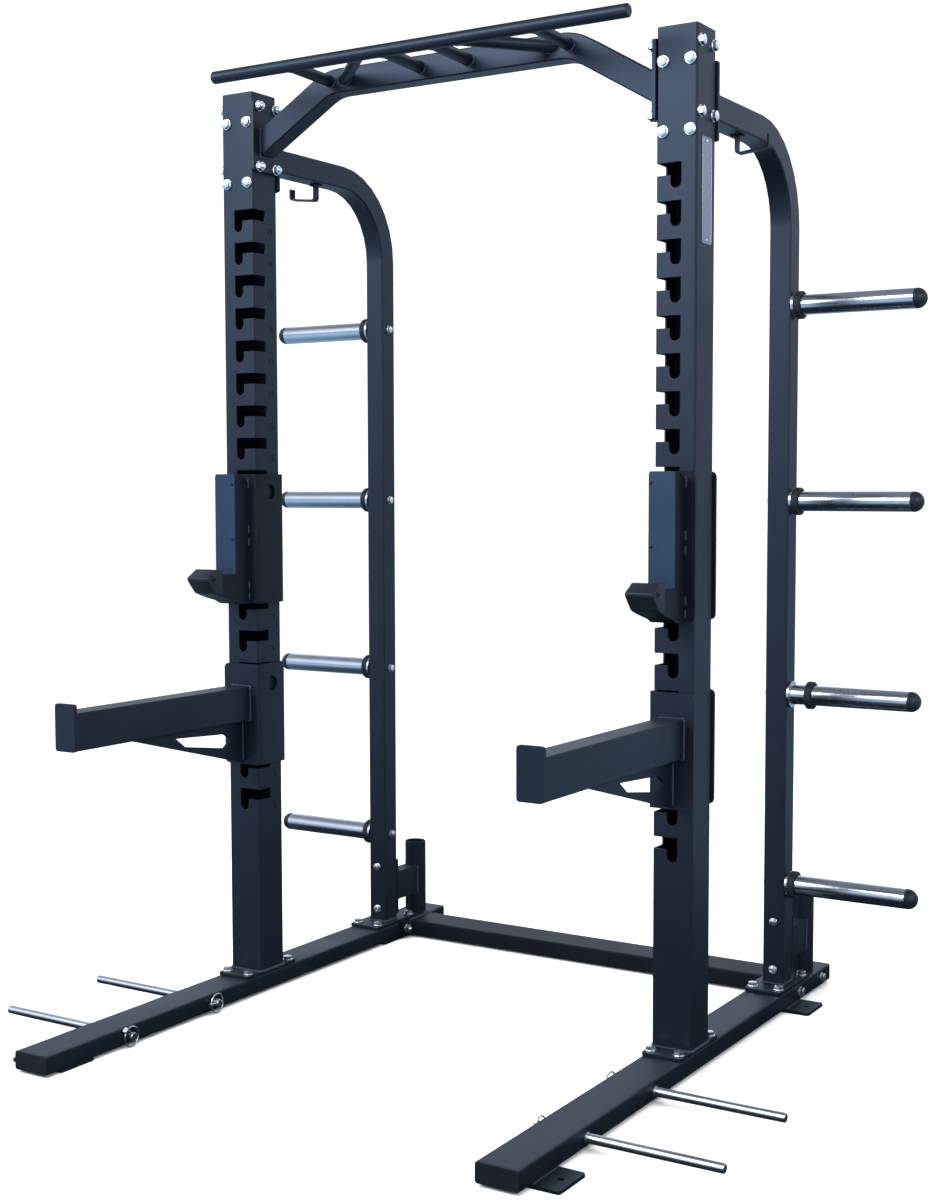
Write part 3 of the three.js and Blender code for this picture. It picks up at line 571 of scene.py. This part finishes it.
for side, way in SIDES.items():
    for station, (middle_y, head_turn) in LINCH_PEGS.items():
        name = f"linch_ring_{station}_{side}"
        add_piece("wire_" + name, [spring_ring(way, middle_y, head_turn)], zinc, name, [name])
print("spring rings:", len(SIDES) * len(LINCH_PEGS))

# %% [markdown]
# The frame is bolted together with zinc plated hex bolts. A head is a hexagonal bar whose corners are cut
# by a cone, so its radius is that of a hexagon, which swings with the turn, up to the height where the
# cone takes over. Each bolt has a washer, and where its far end shows, a nut with some thread beyond it.


# %% Bolts
CROWN_SHARE, CROWN_FALL, EASE = 0.46, math.radians(30), 0.4
THREAD_STEP, THREAD_DEPTH, THREAD_TIP, THREAD_CONE, THREAD_LENGTH = 0.45, 0.55, 0.8, 1.2, 6


def hexagon(across_flats, turns):
    """Half the distance across the flats, divided by the cosine of the angle from the nearest flat."""
    return across_flats / 2 / np.cos((turns + np.pi / 6) % (np.pi / 3) - np.pi / 6)


def hex_head(place, way, lift, across_flats, height):
    """Rows from the seat to the crown. The crown is round, and the cone falls 30 degrees to the flats."""
    turns = np.linspace(0, 2 * np.pi, 48, endpoint=False)
    flat = hexagon(across_flats, turns)
    crown = CROWN_SHARE * across_flats
    fall = (flat - crown) * math.tan(CROWN_FALL)
    zero = 0 * flat
    radii = np.stack([zero, flat - EASE, flat, flat, zero + crown, zero])
    heights = np.stack([zero, zero, zero + EASE, height - fall, zero + height, zero + height + 0.15])
    return turned(radii, lift + heights, place, way, 48)


def washer(place, way, radius, thickness):
    """A disc with an eased rim."""
    profile = rounded([(0, 0), (radius, 0), (radius, thickness), (0, thickness)], 0.6, 3)
    return turned(*profile, place, way, 48)


def thread_end(place, way, lift, radius, length):
    """A rod whose radius goes in and out once a pitch, with a cone at the tip."""
    rise = np.arange(0, length, THREAD_STEP)
    ridge = radius - THREAD_DEPTH * (np.arange(len(rise)) % 4 > 1)
    radii = np.concatenate([[0], ridge, [radius - THREAD_CONE, 0]])
    heights = np.concatenate([[0], rise, [length + THREAD_TIP, length + THREAD_TIP]])
    return turned(radii, lift + heights, place, way, 32)


BOLT = {"washer": 12.2, "thick": 2.2, "flats": 19, "head": 7.6}
SMALL_BOLT = {"washer": 10, "thick": 1.8, "flats": 16, "head": 6.2}
FOOT_BOLT_X, UPRIGHT_FOOT_Y, POST_FOOT_Y = 32, 76, 72
SIDE_BOLT_Y, FRONT_BOLT_X, FLANGE_BOLT_Z = 31, 30, 69.5
BAR_FLANGE_Z, REAR_FLANGE_Z = 2036, 1999.5
CROSSBAR_BOLTS_Y, HOLDER_BOLTS_Z = (559, 699), (87, 200)
POST_DEPTH, HOLDER_PLATE_THICK = 55, 6
HOLDER_PLATE_BACK = POST_Y + POST_DEPTH / 2 + GAP + HOLDER_PLATE_THICK
CORNERS = [(a, b) for a in (-1, 1) for b in (-1, 1)]


def bolt_head(place, way, size=BOLT):
    """A washer on the surface and a head on the washer."""
    return [
        washer(place, way, size["washer"], size["thick"]),
        hex_head(place, way, size["thick"], size["flats"], size["head"]),
    ]


def bolt_nut(place, way, size=BOLT):
    """A washer, a nut a little higher than a head, and the end of the bolt's thread."""
    nut = hex_head(place, way, size["thick"], size["flats"], size["head"] + 1.6)
    end = thread_end(place, way, size["thick"] + size["head"], size["flats"] * 0.31, THREAD_LENGTH)
    return [washer(place, way, size["washer"], size["thick"]), nut, end]


def bolts_of(way):
    """The heads and nuts of one side. X is mirrored, and so is the way that a sideways bolt points."""
    middle = way * RAIL_X
    up, ahead, back, outward, inward = (0, 0, 1), (0, -1, 0), (0, 1, 0), (way, 0, 0), (-way, 0, 0)
    shells = []
    for a, b in CORNERS:
        shells += bolt_head((middle + FOOT_BOLT_X * a, UPRIGHT_Y + UPRIGHT_FOOT_Y * b, PLATE_TOP), up)
        shells += bolt_head((middle + FOOT_BOLT_X * a, POST_Y + POST_FOOT_Y * b, PLATE_TOP), up)
    for a, b in CORNERS:
        y, z = UPRIGHT_Y + SIDE_BOLT_Y * a, BAR_FLANGE_Z + FLANGE_BOLT_Z * b
        shells += bolt_head((way * OUTER_FACE, y, z), outward)
        shells += bolt_nut((way * FLANGE_BACK, y, z), inward)
        x, z = middle + FRONT_BOLT_X * a, REAR_FLANGE_Z + FLANGE_BOLT_Z * b
        shells += bolt_head((x, FRONT_FACE, z), ahead)
        shells += bolt_nut((x, REAR_FLANGE_BACK, z), back)
    for y in CROSSBAR_BOLTS_Y:
        shells += bolt_head((way * OUTER_FACE, y, BASE_MIDDLE), outward)
        shells += bolt_nut((way * FLANGE_BACK, y, BASE_MIDDLE), inward)
    for z in HOLDER_BOLTS_Z:
        shells += bolt_head((middle, POST_Y - POST_DEPTH / 2, z), ahead, SMALL_BOLT)
        shells += bolt_nut((middle, HOLDER_PLATE_BACK, z), back, SMALL_BOLT)
    for z in PEG_ROWS.values():
        shells += bolt_head((way * POST_INNER, POST_Y, z), inward, SMALL_BOLT)
    return shells


for side, way in SIDES.items():
    made = add_piece(f"bolts_{side}", bolts_of(way), zinc)
    print(made.name, len(made.data.polygons), "faces")

# %% [markdown]
# The tubes are welded to their plates before painting, and the beads show through the paint as a row of
# overlapping scales, one for each drop of the weld pool. A bump could fake them, but a real bead catches
# the light at the joint. So each one is a thin round bead, half sunk in the corner, that swells and falls.


# %% Weld beads
SCALE_PITCH, SCALE_SWELL, BEAD_STEP = 3.4, 0.17, 0.85
unevenness = np.random.default_rng(12)


def bead(path, across, size=2.6, joined=True):
    """A point every BEAD_STEP of the path, with radius size (1 + swell sin(2 pi length / pitch) + chance)."""
    path = np.array(path, float)
    line = np.concatenate([path, path[:1]]) if joined else path
    length = np.concatenate([[0], np.cumsum(np.linalg.norm(np.diff(line, axis=0), axis=1))])
    marks = np.linspace(0, length[-1], max(int(length[-1] / BEAD_STEP), 12), endpoint=not joined)
    points = np.stack([np.interp(marks, length, line[:, axis]) for axis in range(3)], -1)
    scales = SCALE_SWELL * np.sin(2 * np.pi * marks / SCALE_PITCH)
    radii = size * (1 + scales + unevenness.normal(0, 0.03, len(marks)))
    if not joined:
        ends = np.minimum(marks, length[-1] - marks) / size
        radii *= np.sqrt(np.clip(ends, 0, 1))
    return carried(points, radii, across, joined, 8)


def box_path(middle, first, second, size, corner):
    """Round a tube: a rectangle with quarter circles for corners, in the plane of two directions."""
    swing = np.linspace(0, np.pi / 2, 5)
    arc = np.stack([np.cos(swing), np.sin(swing)], -1) * corner
    reach = np.array(size) / 2 - corner
    flat = []
    for ways in ((1, 1), (-1, 1), (-1, -1), (1, -1)):
        flat.append(np.array(ways) * reach + arc)
        arc = np.stack([-arc[:, 1], arc[:, 0]], -1)
    return np.array(middle, float) + np.concatenate(flat) @ np.array([first, second], float)


BAR_RADIUS, BAR_Y, BAR_Z = 14, UPRIGHT_Y - 175, UPRIGHT_TOP + 4
BEAM_FRONT, BEAM_Z, BEAM_BEND_X, BEAM_DROP = UPRIGHT_Y - 25, UPRIGHT_TOP - 1, 316, 120
BEAM_TUBE, GRIP_RADIUS, GRIP_REACH, GRIP_LENGTH, MET_AT = (50, 55), 13, 150, 155, 0.97
GRIPS = ((62, 62), (120, 272), (308, 308))


def grip_path(way, at_bar, at_beam):
    """Where a grip meets the front bar: z = grip sin t, and y follows the bar's round back."""
    turn = np.linspace(0, 2 * np.pi, 48, endpoint=False)
    lean = way * (at_beam - at_bar) / GRIP_REACH
    height = GRIP_RADIUS * np.sin(turn)
    depth = np.sqrt(BAR_RADIUS**2 - height**2)
    x = way * at_bar + GRIP_RADIUS * math.hypot(1, lean) * np.cos(turn) + lean * depth
    return np.stack([x, BAR_Y + depth, BAR_Z + height], -1)


def beam_path(way, at_bar, at_beam):
    """Where a grip meets the crossmember's flat front: an ellipse drawn out by the grip's lean."""
    turn = np.linspace(0, 2 * np.pi, 48, endpoint=False)
    lean = way * (at_beam - at_bar) / GRIP_LENGTH
    foot = way * (at_bar + (at_beam - at_bar) * MET_AT)
    x = foot + GRIP_RADIUS * math.hypot(1, lean) * np.cos(turn)
    return np.stack([x, 0 * turn + BEAM_FRONT, BEAM_Z + GRIP_RADIUS * np.sin(turn)], -1)


X, Y, Z = (1, 0, 0), (0, 1, 0), (0, 0, 1)
UPRIGHT_TUBE, POST_TUBE = (2 * UPRIGHT_HALF, 2 * UPRIGHT_HALF), (2 * POST_HALF, POST_DEPTH)
CROSSBAR_TUBE, HOLDER_ARM = (100, 40), (40, 76)
REAR_ARM_Z, CROSSBAR_Y, HOLDER_ARM_Z, HOLDER_FRONT = 1999.3, 626, 138, 662.7
ANCHOR_PLATES_Y, ANCHOR_HALF, ANCHOR_TOP = (-667, 514), 46, 6


def frame_beads(way):
    """The beads at the feet, flanges, crossbar, holder and anchor plates of one side."""
    x, outer = way * RAIL_X, way * OUTER_FACE
    made = [
        bead(box_path((x, UPRIGHT_Y, PLATE_TOP), X, Y, UPRIGHT_TUBE, 5), Z, 3),
        bead(box_path((x, POST_Y, PLATE_TOP), X, Y, POST_TUBE, 3), Z),
        bead(box_path((x, REAR_FLANGE_BACK, REAR_ARM_Z), X, Z, POST_TUBE, 3), Y),
        bead(box_path((way * FLANGE_BACK, CROSSBAR_Y, BASE_MIDDLE), Y, Z, CROSSBAR_TUBE, 4), X),
        bead(box_path((x, HOLDER_PLATE_BACK, HOLDER_ARM_Z), X, Z, HOLDER_ARM, 1), Y, 2.2),
    ]
    half_arm, half_height = HOLDER_ARM[0] / 2, HOLDER_ARM[1] / 2 - 1
    for edge in (x - half_arm, x + half_arm):
        ends = [(edge, HOLDER_FRONT, HOLDER_ARM_Z + turn * half_height) for turn in (-1, 1)]
        made.append(bead(ends, Y, 2.2, False))
    for y in ANCHOR_PLATES_Y:
        ends = [(outer, y - ANCHOR_HALF, ANCHOR_TOP), (outer, y + ANCHOR_HALF, ANCHOR_TOP)]
        made.append(bead(ends, Z, 2.4, False))
    return made


def pull_up_beads():
    """The beads round the six grips, at the bar and at the crossmember, and round the crossmember's ends."""
    made = []
    for way in SIDES.values():
        for grip in GRIPS:
            made += [bead(grip_path(way, *grip), Y, 1.9), bead(beam_path(way, *grip), Y, 1.9)]
        tilt = math.atan2(BEAM_DROP, INNER_FACE - BEAM_BEND_X)
        middle = (way * FLANGE_BACK, UPRIGHT_Y, BEAM_Z - BEAM_DROP + FLANGE_THICK * math.tan(tilt))
        cut = (BEAM_TUBE[0], BEAM_TUBE[1] / math.cos(tilt))
        made.append(bead(box_path(middle, Y, Z, cut, 3), X))
    return made


welds = {f"frame_welds_{side}": frame_beads(way) for side, way in SIDES.items()}
welds["pull_up_welds"] = pull_up_beads()
for name, beads in welds.items():
    add_piece(name, beads, bead_coat_painted_highlight)
    print(name, len(beads), "beads")

# %% [markdown]
# The J-cups and safety arms are welded too. A cup's box is only tacked to its bracket with short beads,
# which show as pale dashes down the side: their lighter coat paints in the highlight the beads catch.

# %% Beads on the cups and arms
BRACKET_FRONT = FRONT_FACE - 8
CUP_BOTTOM, CUP_HALF, ARM_TOP, ARM_BOTTOM, ARM_END = 943.7, 29, 746, 664, BRACKET_FRONT - 572
CUP_TACKS = ((1216, 1240), (1110, 1130), (1080, 1100), (978, 998), (952, 970))
ARM_TUBE, STOP_HALF = (56, 82), 26
GUSSET_HALF, GUSSET_REACH, GUSSET_BOTTOM = 4, -440, 566


def cup_beads(way):
    """Short tacks down each side of the box: one near the top, two half way and two at the foot."""
    made = []
    for edge in (-CUP_HALF, CUP_HALF):
        x = way * RAIL_X + edge
        for low, high in CUP_TACKS:
            made.append(bead([(x, BRACKET_FRONT, low), (x, BRACKET_FRONT, high)], Y, 2.4, False))
    return made


def arm_beads(way):
    """Round the arm's root, along the stop plate, and down both sides of the gusset."""
    x = way * RAIL_X
    made = [bead(box_path((x, BRACKET_FRONT, (ARM_TOP + ARM_BOTTOM) / 2), X, Z, ARM_TUBE, 3), Y)]
    made.append(bead([(x - STOP_HALF, ARM_END, ARM_TOP), (x + STOP_HALF, ARM_END, ARM_TOP)], Z, 2.4, False))
    for edge in (x - GUSSET_HALF, x + GUSSET_HALF):
        along = [(edge, BRACKET_FRONT - 5, ARM_BOTTOM), (edge, GUSSET_REACH, ARM_BOTTOM)]
        down = [(edge, BRACKET_FRONT, ARM_BOTTOM - 2), (edge, BRACKET_FRONT, GUSSET_BOTTOM)]
        made += [bead(along, Z, 2, False), bead(down, Y, 2, False)]
    return made


for side, way in SIDES.items():
    for kind, beads in (("j_cup", cup_beads(way)), ("safety_arm", arm_beads(way))):
        add_piece(f"{kind}_welds_{side}", beads, bead_coat_painted_highlight, f"{kind}_{side}")
        print(kind, side, len(beads), "beads")

# %% [markdown]
# The liner of each cup is held by two small dark screws near its inner edge. They have a low round head
# with a hexagonal socket, so the profile runs over the dome and down into the socket. Larger ones of the
# same kind hold the caps in the next step.


# %% Liner screws
DOME_RADIUS, SOCKET_FLATS = 4.2, 3.2


def round_screw(place, way, size=1.0):
    """A dome that falls into a socket, whose radius is that of a hexagon. All of it is times the size."""
    turns = np.linspace(0, 2 * np.pi, 24, endpoint=False)
    zero = 0 * turns
    socket = hexagon(SOCKET_FLATS, turns)
    radii = np.stack([zero, zero + DOME_RADIUS, zero + 4.0, zero + 3.0, socket, socket, zero])
    heights = np.stack([zero - 1, zero - 1, zero + 0.6, zero + 1.3, zero + 1.5, zero + 0.3, zero + 0.3])
    return turned(radii * size, heights * size, place, way, 24)


LINER_FACE, LINER_SCREW_X, LINER_SCREWS_Z = BRACKET_FRONT - 52, RAIL_X - 23, (1226, 1098)
for side, way in SIDES.items():
    screws = [round_screw((way * LINER_SCREW_X, LINER_FACE, z), (0, -1, 0)) for z in LINER_SCREWS_Z]
    add_piece(f"liner_screws_{side}", screws, dark_steel, f"j_cup_{side}")
print("liner screws:", len(SIDES) * len(LINER_SCREWS_Z))

# %% [markdown]
# The tip of each cup wears a cap moulded in black plastic, blunt at its ridge and eased at every corner,
# so that it can't mark the bar. A round screw on each side holds it. CAD drew it with sharp corners, and a
# bevel on so thin a shell stays narrow. So the cap is made again: one outline is carried from side to side
# and drawn in where the sides are rounded.


# %% Caps on the tips of the cups
CAP_HALF, CAP_ROUND = 31.3, 2.0
HOOK_REACH, HOOK_RISE = 154, 88
CAP_SHARES = ((0.64, 0.95), (0.79, 0.97), (0.99, 0.755), (0.985, 0.675), (0.82, 0.34), (0.64, 0.23))
CAP_SCREW_Y, CAP_SCREW_Z, CAP_SCREW_SIZE = -195.5, 1007.5, 1.6


def tip_cap(way):
    """The outline at x = half - round (1 - sin t), drawn in along its normals by round (1 - cos t)."""
    shares = np.array(CAP_SHARES)
    corners = (BRACKET_FRONT, CUP_BOTTOM) + shares * (-HOOK_REACH, HOOK_RISE)
    middle = (corners[0] + corners[-1]) / 2
    outline = rounded([middle, *corners, middle], 2.5).T[:-1]
    ahead = np.roll(outline, -1, 0) - np.roll(outline, 1, 0)
    outward = np.stack([ahead[:, 1], -ahead[:, 0]], -1) / np.linalg.norm(ahead, axis=1)[:, None]
    swing = np.linspace(0, np.pi / 2, 5)
    lift, inset = CAP_HALF - CAP_ROUND + CAP_ROUND * np.sin(swing), CAP_ROUND - CAP_ROUND * np.cos(swing)
    lift, inset = np.concatenate([-lift[::-1], lift]), np.concatenate([inset[::-1], inset])
    rows = outline[None] - inset[:, None, None] * outward[None]
    pole = 0 * rows[:1] + outline.mean(0)
    rows = np.concatenate([pole, rows, pole])
    across = np.concatenate([lift[:1], lift, lift[-1:]])[:, None] + np.zeros(len(outline))
    points = np.concatenate([way * RAIL_X + across[..., None], rows], -1)
    return points.reshape(-1, 3) * MM, ring_faces(len(rows), len(outline)).tolist()


for side, way in SIDES.items():
    name, body = f"j_cup_tip_cap_{side}", f"j_cup_{side}"
    add_piece("moulded_" + name, [tip_cap(way)], black_plastic, body, [name], crease=50)
    screws = [
        round_screw((way * RAIL_X + face * CAP_HALF, CAP_SCREW_Y, CAP_SCREW_Z), (face, 0, 0), CAP_SCREW_SIZE)
        for face in (-1, 1)
    ]
    add_piece(f"tip_cap_screws_{side}", screws, dark_steel, body)
    print("tip cap", side, "with", len(screws), "screws")

# %% [markdown]
# A long thin plate is riveted to the right upright. On this part it stays bare: brushed aluminium with a
# lifted rim and a rivet at each end. It is a stack of outlines, each one smaller or higher than the last.


# %% Name plate
def plate_stack(middle, size, corner, insets, heights):
    """Loop after loop of a rounded rectangle: inset in the plane, lifted along X, closed at a point."""
    loops = []
    for inset, height in zip(insets, heights):
        span = np.maximum(np.array(size, float) - 2 * inset, 0.002)
        loop = box_path((0, 0, 0), Y, Z, span, min(corner, span.min() / 2.1))
        loops.append(loop + np.array([height, 0, 0]))
    points = np.array(middle, float) + np.concatenate(loops)
    return points * MM, ring_faces(len(loops), len(loops[0])).tolist()


PLATE_Y, PLATE_Z, PLATE_SIZE, PLATE_CORNER, RIVETS_Z = -9, 1813.5, (46, 213), 4, (1715, 1912)
RIVET = ((0, 0.5), (3.4, 0.5), (3.2, 1.7), (1.4, 2.6), (0, 2.7))
PLATE_INSETS, PLATE_HEIGHTS = (0, 0, 0.3, 1.6, 2.0, 23), (0.05, 1.0, 1.3, 1.3, 0.9, 0.9)
plate = plate_stack((OUTER_FACE, PLATE_Y, PLATE_Z), PLATE_SIZE, PLATE_CORNER, PLATE_INSETS, PLATE_HEIGHTS)
name_plate = add_piece("bare_name_plate", [plate], aluminium, crease=20)
rivets = [turned(*rounded(RIVET, 0.6, 3), (OUTER_FACE, PLATE_Y, z), X, 32) for z in RIVETS_Z]
add_piece("name_plate_rivets", rivets, zinc)
print("name plate:", len(name_plate.data.polygons), "faces")

# %% [markdown]
# Beside each slot the inner face carries its number, so that both sides are set to the same height. The
# digits are plain, printed dark on dark, and counted from the bottom. Blender's text is turned into a
# mesh first, and then its points are laid on the face.

# %% Slot numbers
DIGIT_SIZE, DIGIT_Y, DIGIT_LIFT, INK_THICK, SLOT_COUNT = 21, 6, 4.5, 0.12, 19


def digits(number):
    """The points and faces of a number about its own middle, in mm, as thin as ink."""
    curve = bpy.data.curves.new("digits", "FONT")
    curve.body, curve.size, curve.extrude = str(number), DIGIT_SIZE, INK_THICK / 2
    curve.resolution_u = 3
    curve.align_x, curve.align_y = "CENTER", "CENTER"
    holder = bpy.data.objects.new("digits", curve)
    bpy.context.scene.collection.objects.link(holder)
    mesh = bpy.data.meshes.new_from_object(holder.evaluated_get(bpy.context.evaluated_depsgraph_get()))
    points = np.empty(3 * len(mesh.vertices))
    mesh.vertices.foreach_get("co", points)
    faces = [list(face.vertices) for face in mesh.polygons]
    bpy.data.objects.remove(holder)
    bpy.data.meshes.remove(mesh)
    return points.reshape(-1, 3), faces


def numbers_on(way):
    """Lays each number on the inner face: its right runs along the face, and its front looks inwards."""
    shells = []
    turn = np.array([(0, -way, 0), (0, 0, 1), (-way, 0, 0)], float)
    for count in range(SLOT_COUNT):
        flat, faces = digits(SLOT_COUNT - count)
        place = (way * (INNER_FACE - INK_THICK), DIGIT_Y, TOP_SLOT - SLOT_PITCH * count + DIGIT_LIFT)
        shells.append(((flat @ turn + place) * MM, faces))
    return shells


for side, way in SIDES.items():
    add_piece(f"slot_numbers_{side}", numbers_on(way), ink)
print("slot numbers:", len(SIDES) * SLOT_COUNT)

# %% [markdown]
# The studio is plain: a wide pale floor under a pale sky, and three soft boxes. The photo shows the top of
# the uprights lighter than their feet and bright streaks along the pegs, so the light hangs high and
# comes from the front. A glossy coat mirrors the room, and a real studio is bright only along its walls.
# So rays that were mirrored see a dim floor and ceiling, and the eye sees both white.


# %% Studio
# What reflections see: the sky's light, and the floor's glow, which is a painted reflection.
MIRRORED_SKY, MIRRORED_FLOOR = (0.86, 0.95, 1.18, 1.0), (0.6, 0.94, 1.34, 1.0)


def pale_floor_finish():
    """Pale to the eye. Reflections see a glow, darkened under the rack by a painted shadow, most lit in
    front.
    """
    material, place = new_finish("pale_floor")
    cloud = noise(place, 1.2, 4.0)
    colour = cloud.colours(grey(0.87), grey(0.91))
    pale = place.node("BsdfPrincipled", inputs={"Base Color": colour, "Roughness": cloud * 0.2 + 0.6})
    from_rack = place.node("VectorMath", {"operation": "LENGTH"}, {0: place}, "Value")
    in_front = (0 - place.node("SeparateXYZ", inputs={0: place}, output="Y")).ramp(0.5, 3.0)
    # Painted shadow in reflections: the glow is dim near the rack and brighter away from it, most in front.
    strength = from_rack.ramp(0.9, 3.2) * (in_front * 0.24 + 0.54) + 0.02
    dim = place.node("Emission", inputs={"Color": MIRRORED_FLOOR, "Strength": strength})
    mirrored = place.node("LightPath", output="Is Glossy Ray")
    mixed = place.node("MixShader", inputs={0: mirrored, 1: pale, 2: dim})
    output = material.node_tree.nodes.new("ShaderNodeOutputMaterial")
    material.node_tree.links.new(mixed.socket, output.inputs["Surface"])
    return material


FLOOR_RADIUS, FLOOR_RINGS, FLOOR_SPOKES = 40, 11, 48


def plain_floor():
    """A disc: radius runs outwards and angle runs round, and every point lies at height 0."""
    radii = np.linspace(0, FLOOR_RADIUS, FLOOR_RINGS + 1)[1:]
    turns = np.linspace(0, 2 * np.pi, FLOOR_SPOKES, endpoint=False)
    r, a = np.meshgrid(radii, turns, indexing="ij")
    points = np.stack([r * np.cos(a), r * np.sin(a), np.zeros_like(r)], -1).reshape(-1, 3)
    rings = ring_faces(FLOOR_RINGS, FLOOR_SPOKES)[:, ::-1]
    mesh = bpy.data.meshes.new("floor")
    mesh.from_pydata(points.tolist(), [], [list(range(FLOOR_SPOKES)), *rings.tolist()])
    floor = bpy.data.objects.new("floor", mesh)
    bpy.context.scene.collection.objects.link(floor)
    mesh.materials.append(pale_floor_finish())


def soft_box(name, place, target, size, watts):
    """A rectangular lamp that looks from its place at the target."""
    data = bpy.data.lights.new(name, "AREA")
    data.shape, data.size, data.size_y, data.energy = "RECTANGLE", *size, watts
    lamp = bpy.data.objects.new(name, data)
    lamp.location = place
    lamp.rotation_euler = (Vector(target) - Vector(place)).to_track_quat("-Z", "Y").to_euler()
    bpy.context.scene.collection.objects.link(lamp)
    return lamp


plain_floor()
soft_box("overhead", (0, -0.3, 5.2), (0, 0, 0), (4, 4), 230).visible_glossy = False
soft_box("key", (-2.0, -4.2, 3.9), (0, 0, 1.4), (3.4, 2.4), 260).data.color = (0.84, 1.0, 1.14)
soft_box("fill", (5.2, -2.4, 3.6), (0.3, 0, 1.3), (2.4, 2.0), 120)


def studio_sky(seen, foot, wall, ceiling):
    """White to the eye and for soft light. Reflections see bright walls, dim at the foot and overhead."""
    world = bpy.data.worlds.new("pale_sky")
    world.use_nodes = True
    world.node_tree.nodes.clear()
    start = Wire(world.node_tree)
    height = start.node("SeparateXYZ", inputs={0: start.node("TexCoord", output="Generated")}, output="Z")
    walls = height.ramp(-0.05, 0.22) * (wall - foot) + foot - height.ramp(0.38, 0.8) * (wall - ceiling)
    glossy = start.node("LightPath", output="Is Glossy Ray")
    strength = glossy * walls + (1 - glossy) * seen
    tint = glossy.colours(grey(1.0), MIRRORED_SKY)
    shine = start.node("Background", inputs={"Color": tint, "Strength": strength})
    output = world.node_tree.nodes.new("ShaderNodeOutputWorld")
    world.node_tree.links.new(shine.socket, output.inputs["Surface"])
    return world


bpy.context.scene.world = studio_sky(1.25, 0.3, 1.1, 0.28)
bpy.context.scene.view_settings.view_transform = "Standard"
print("studio: three soft boxes over a pale floor")
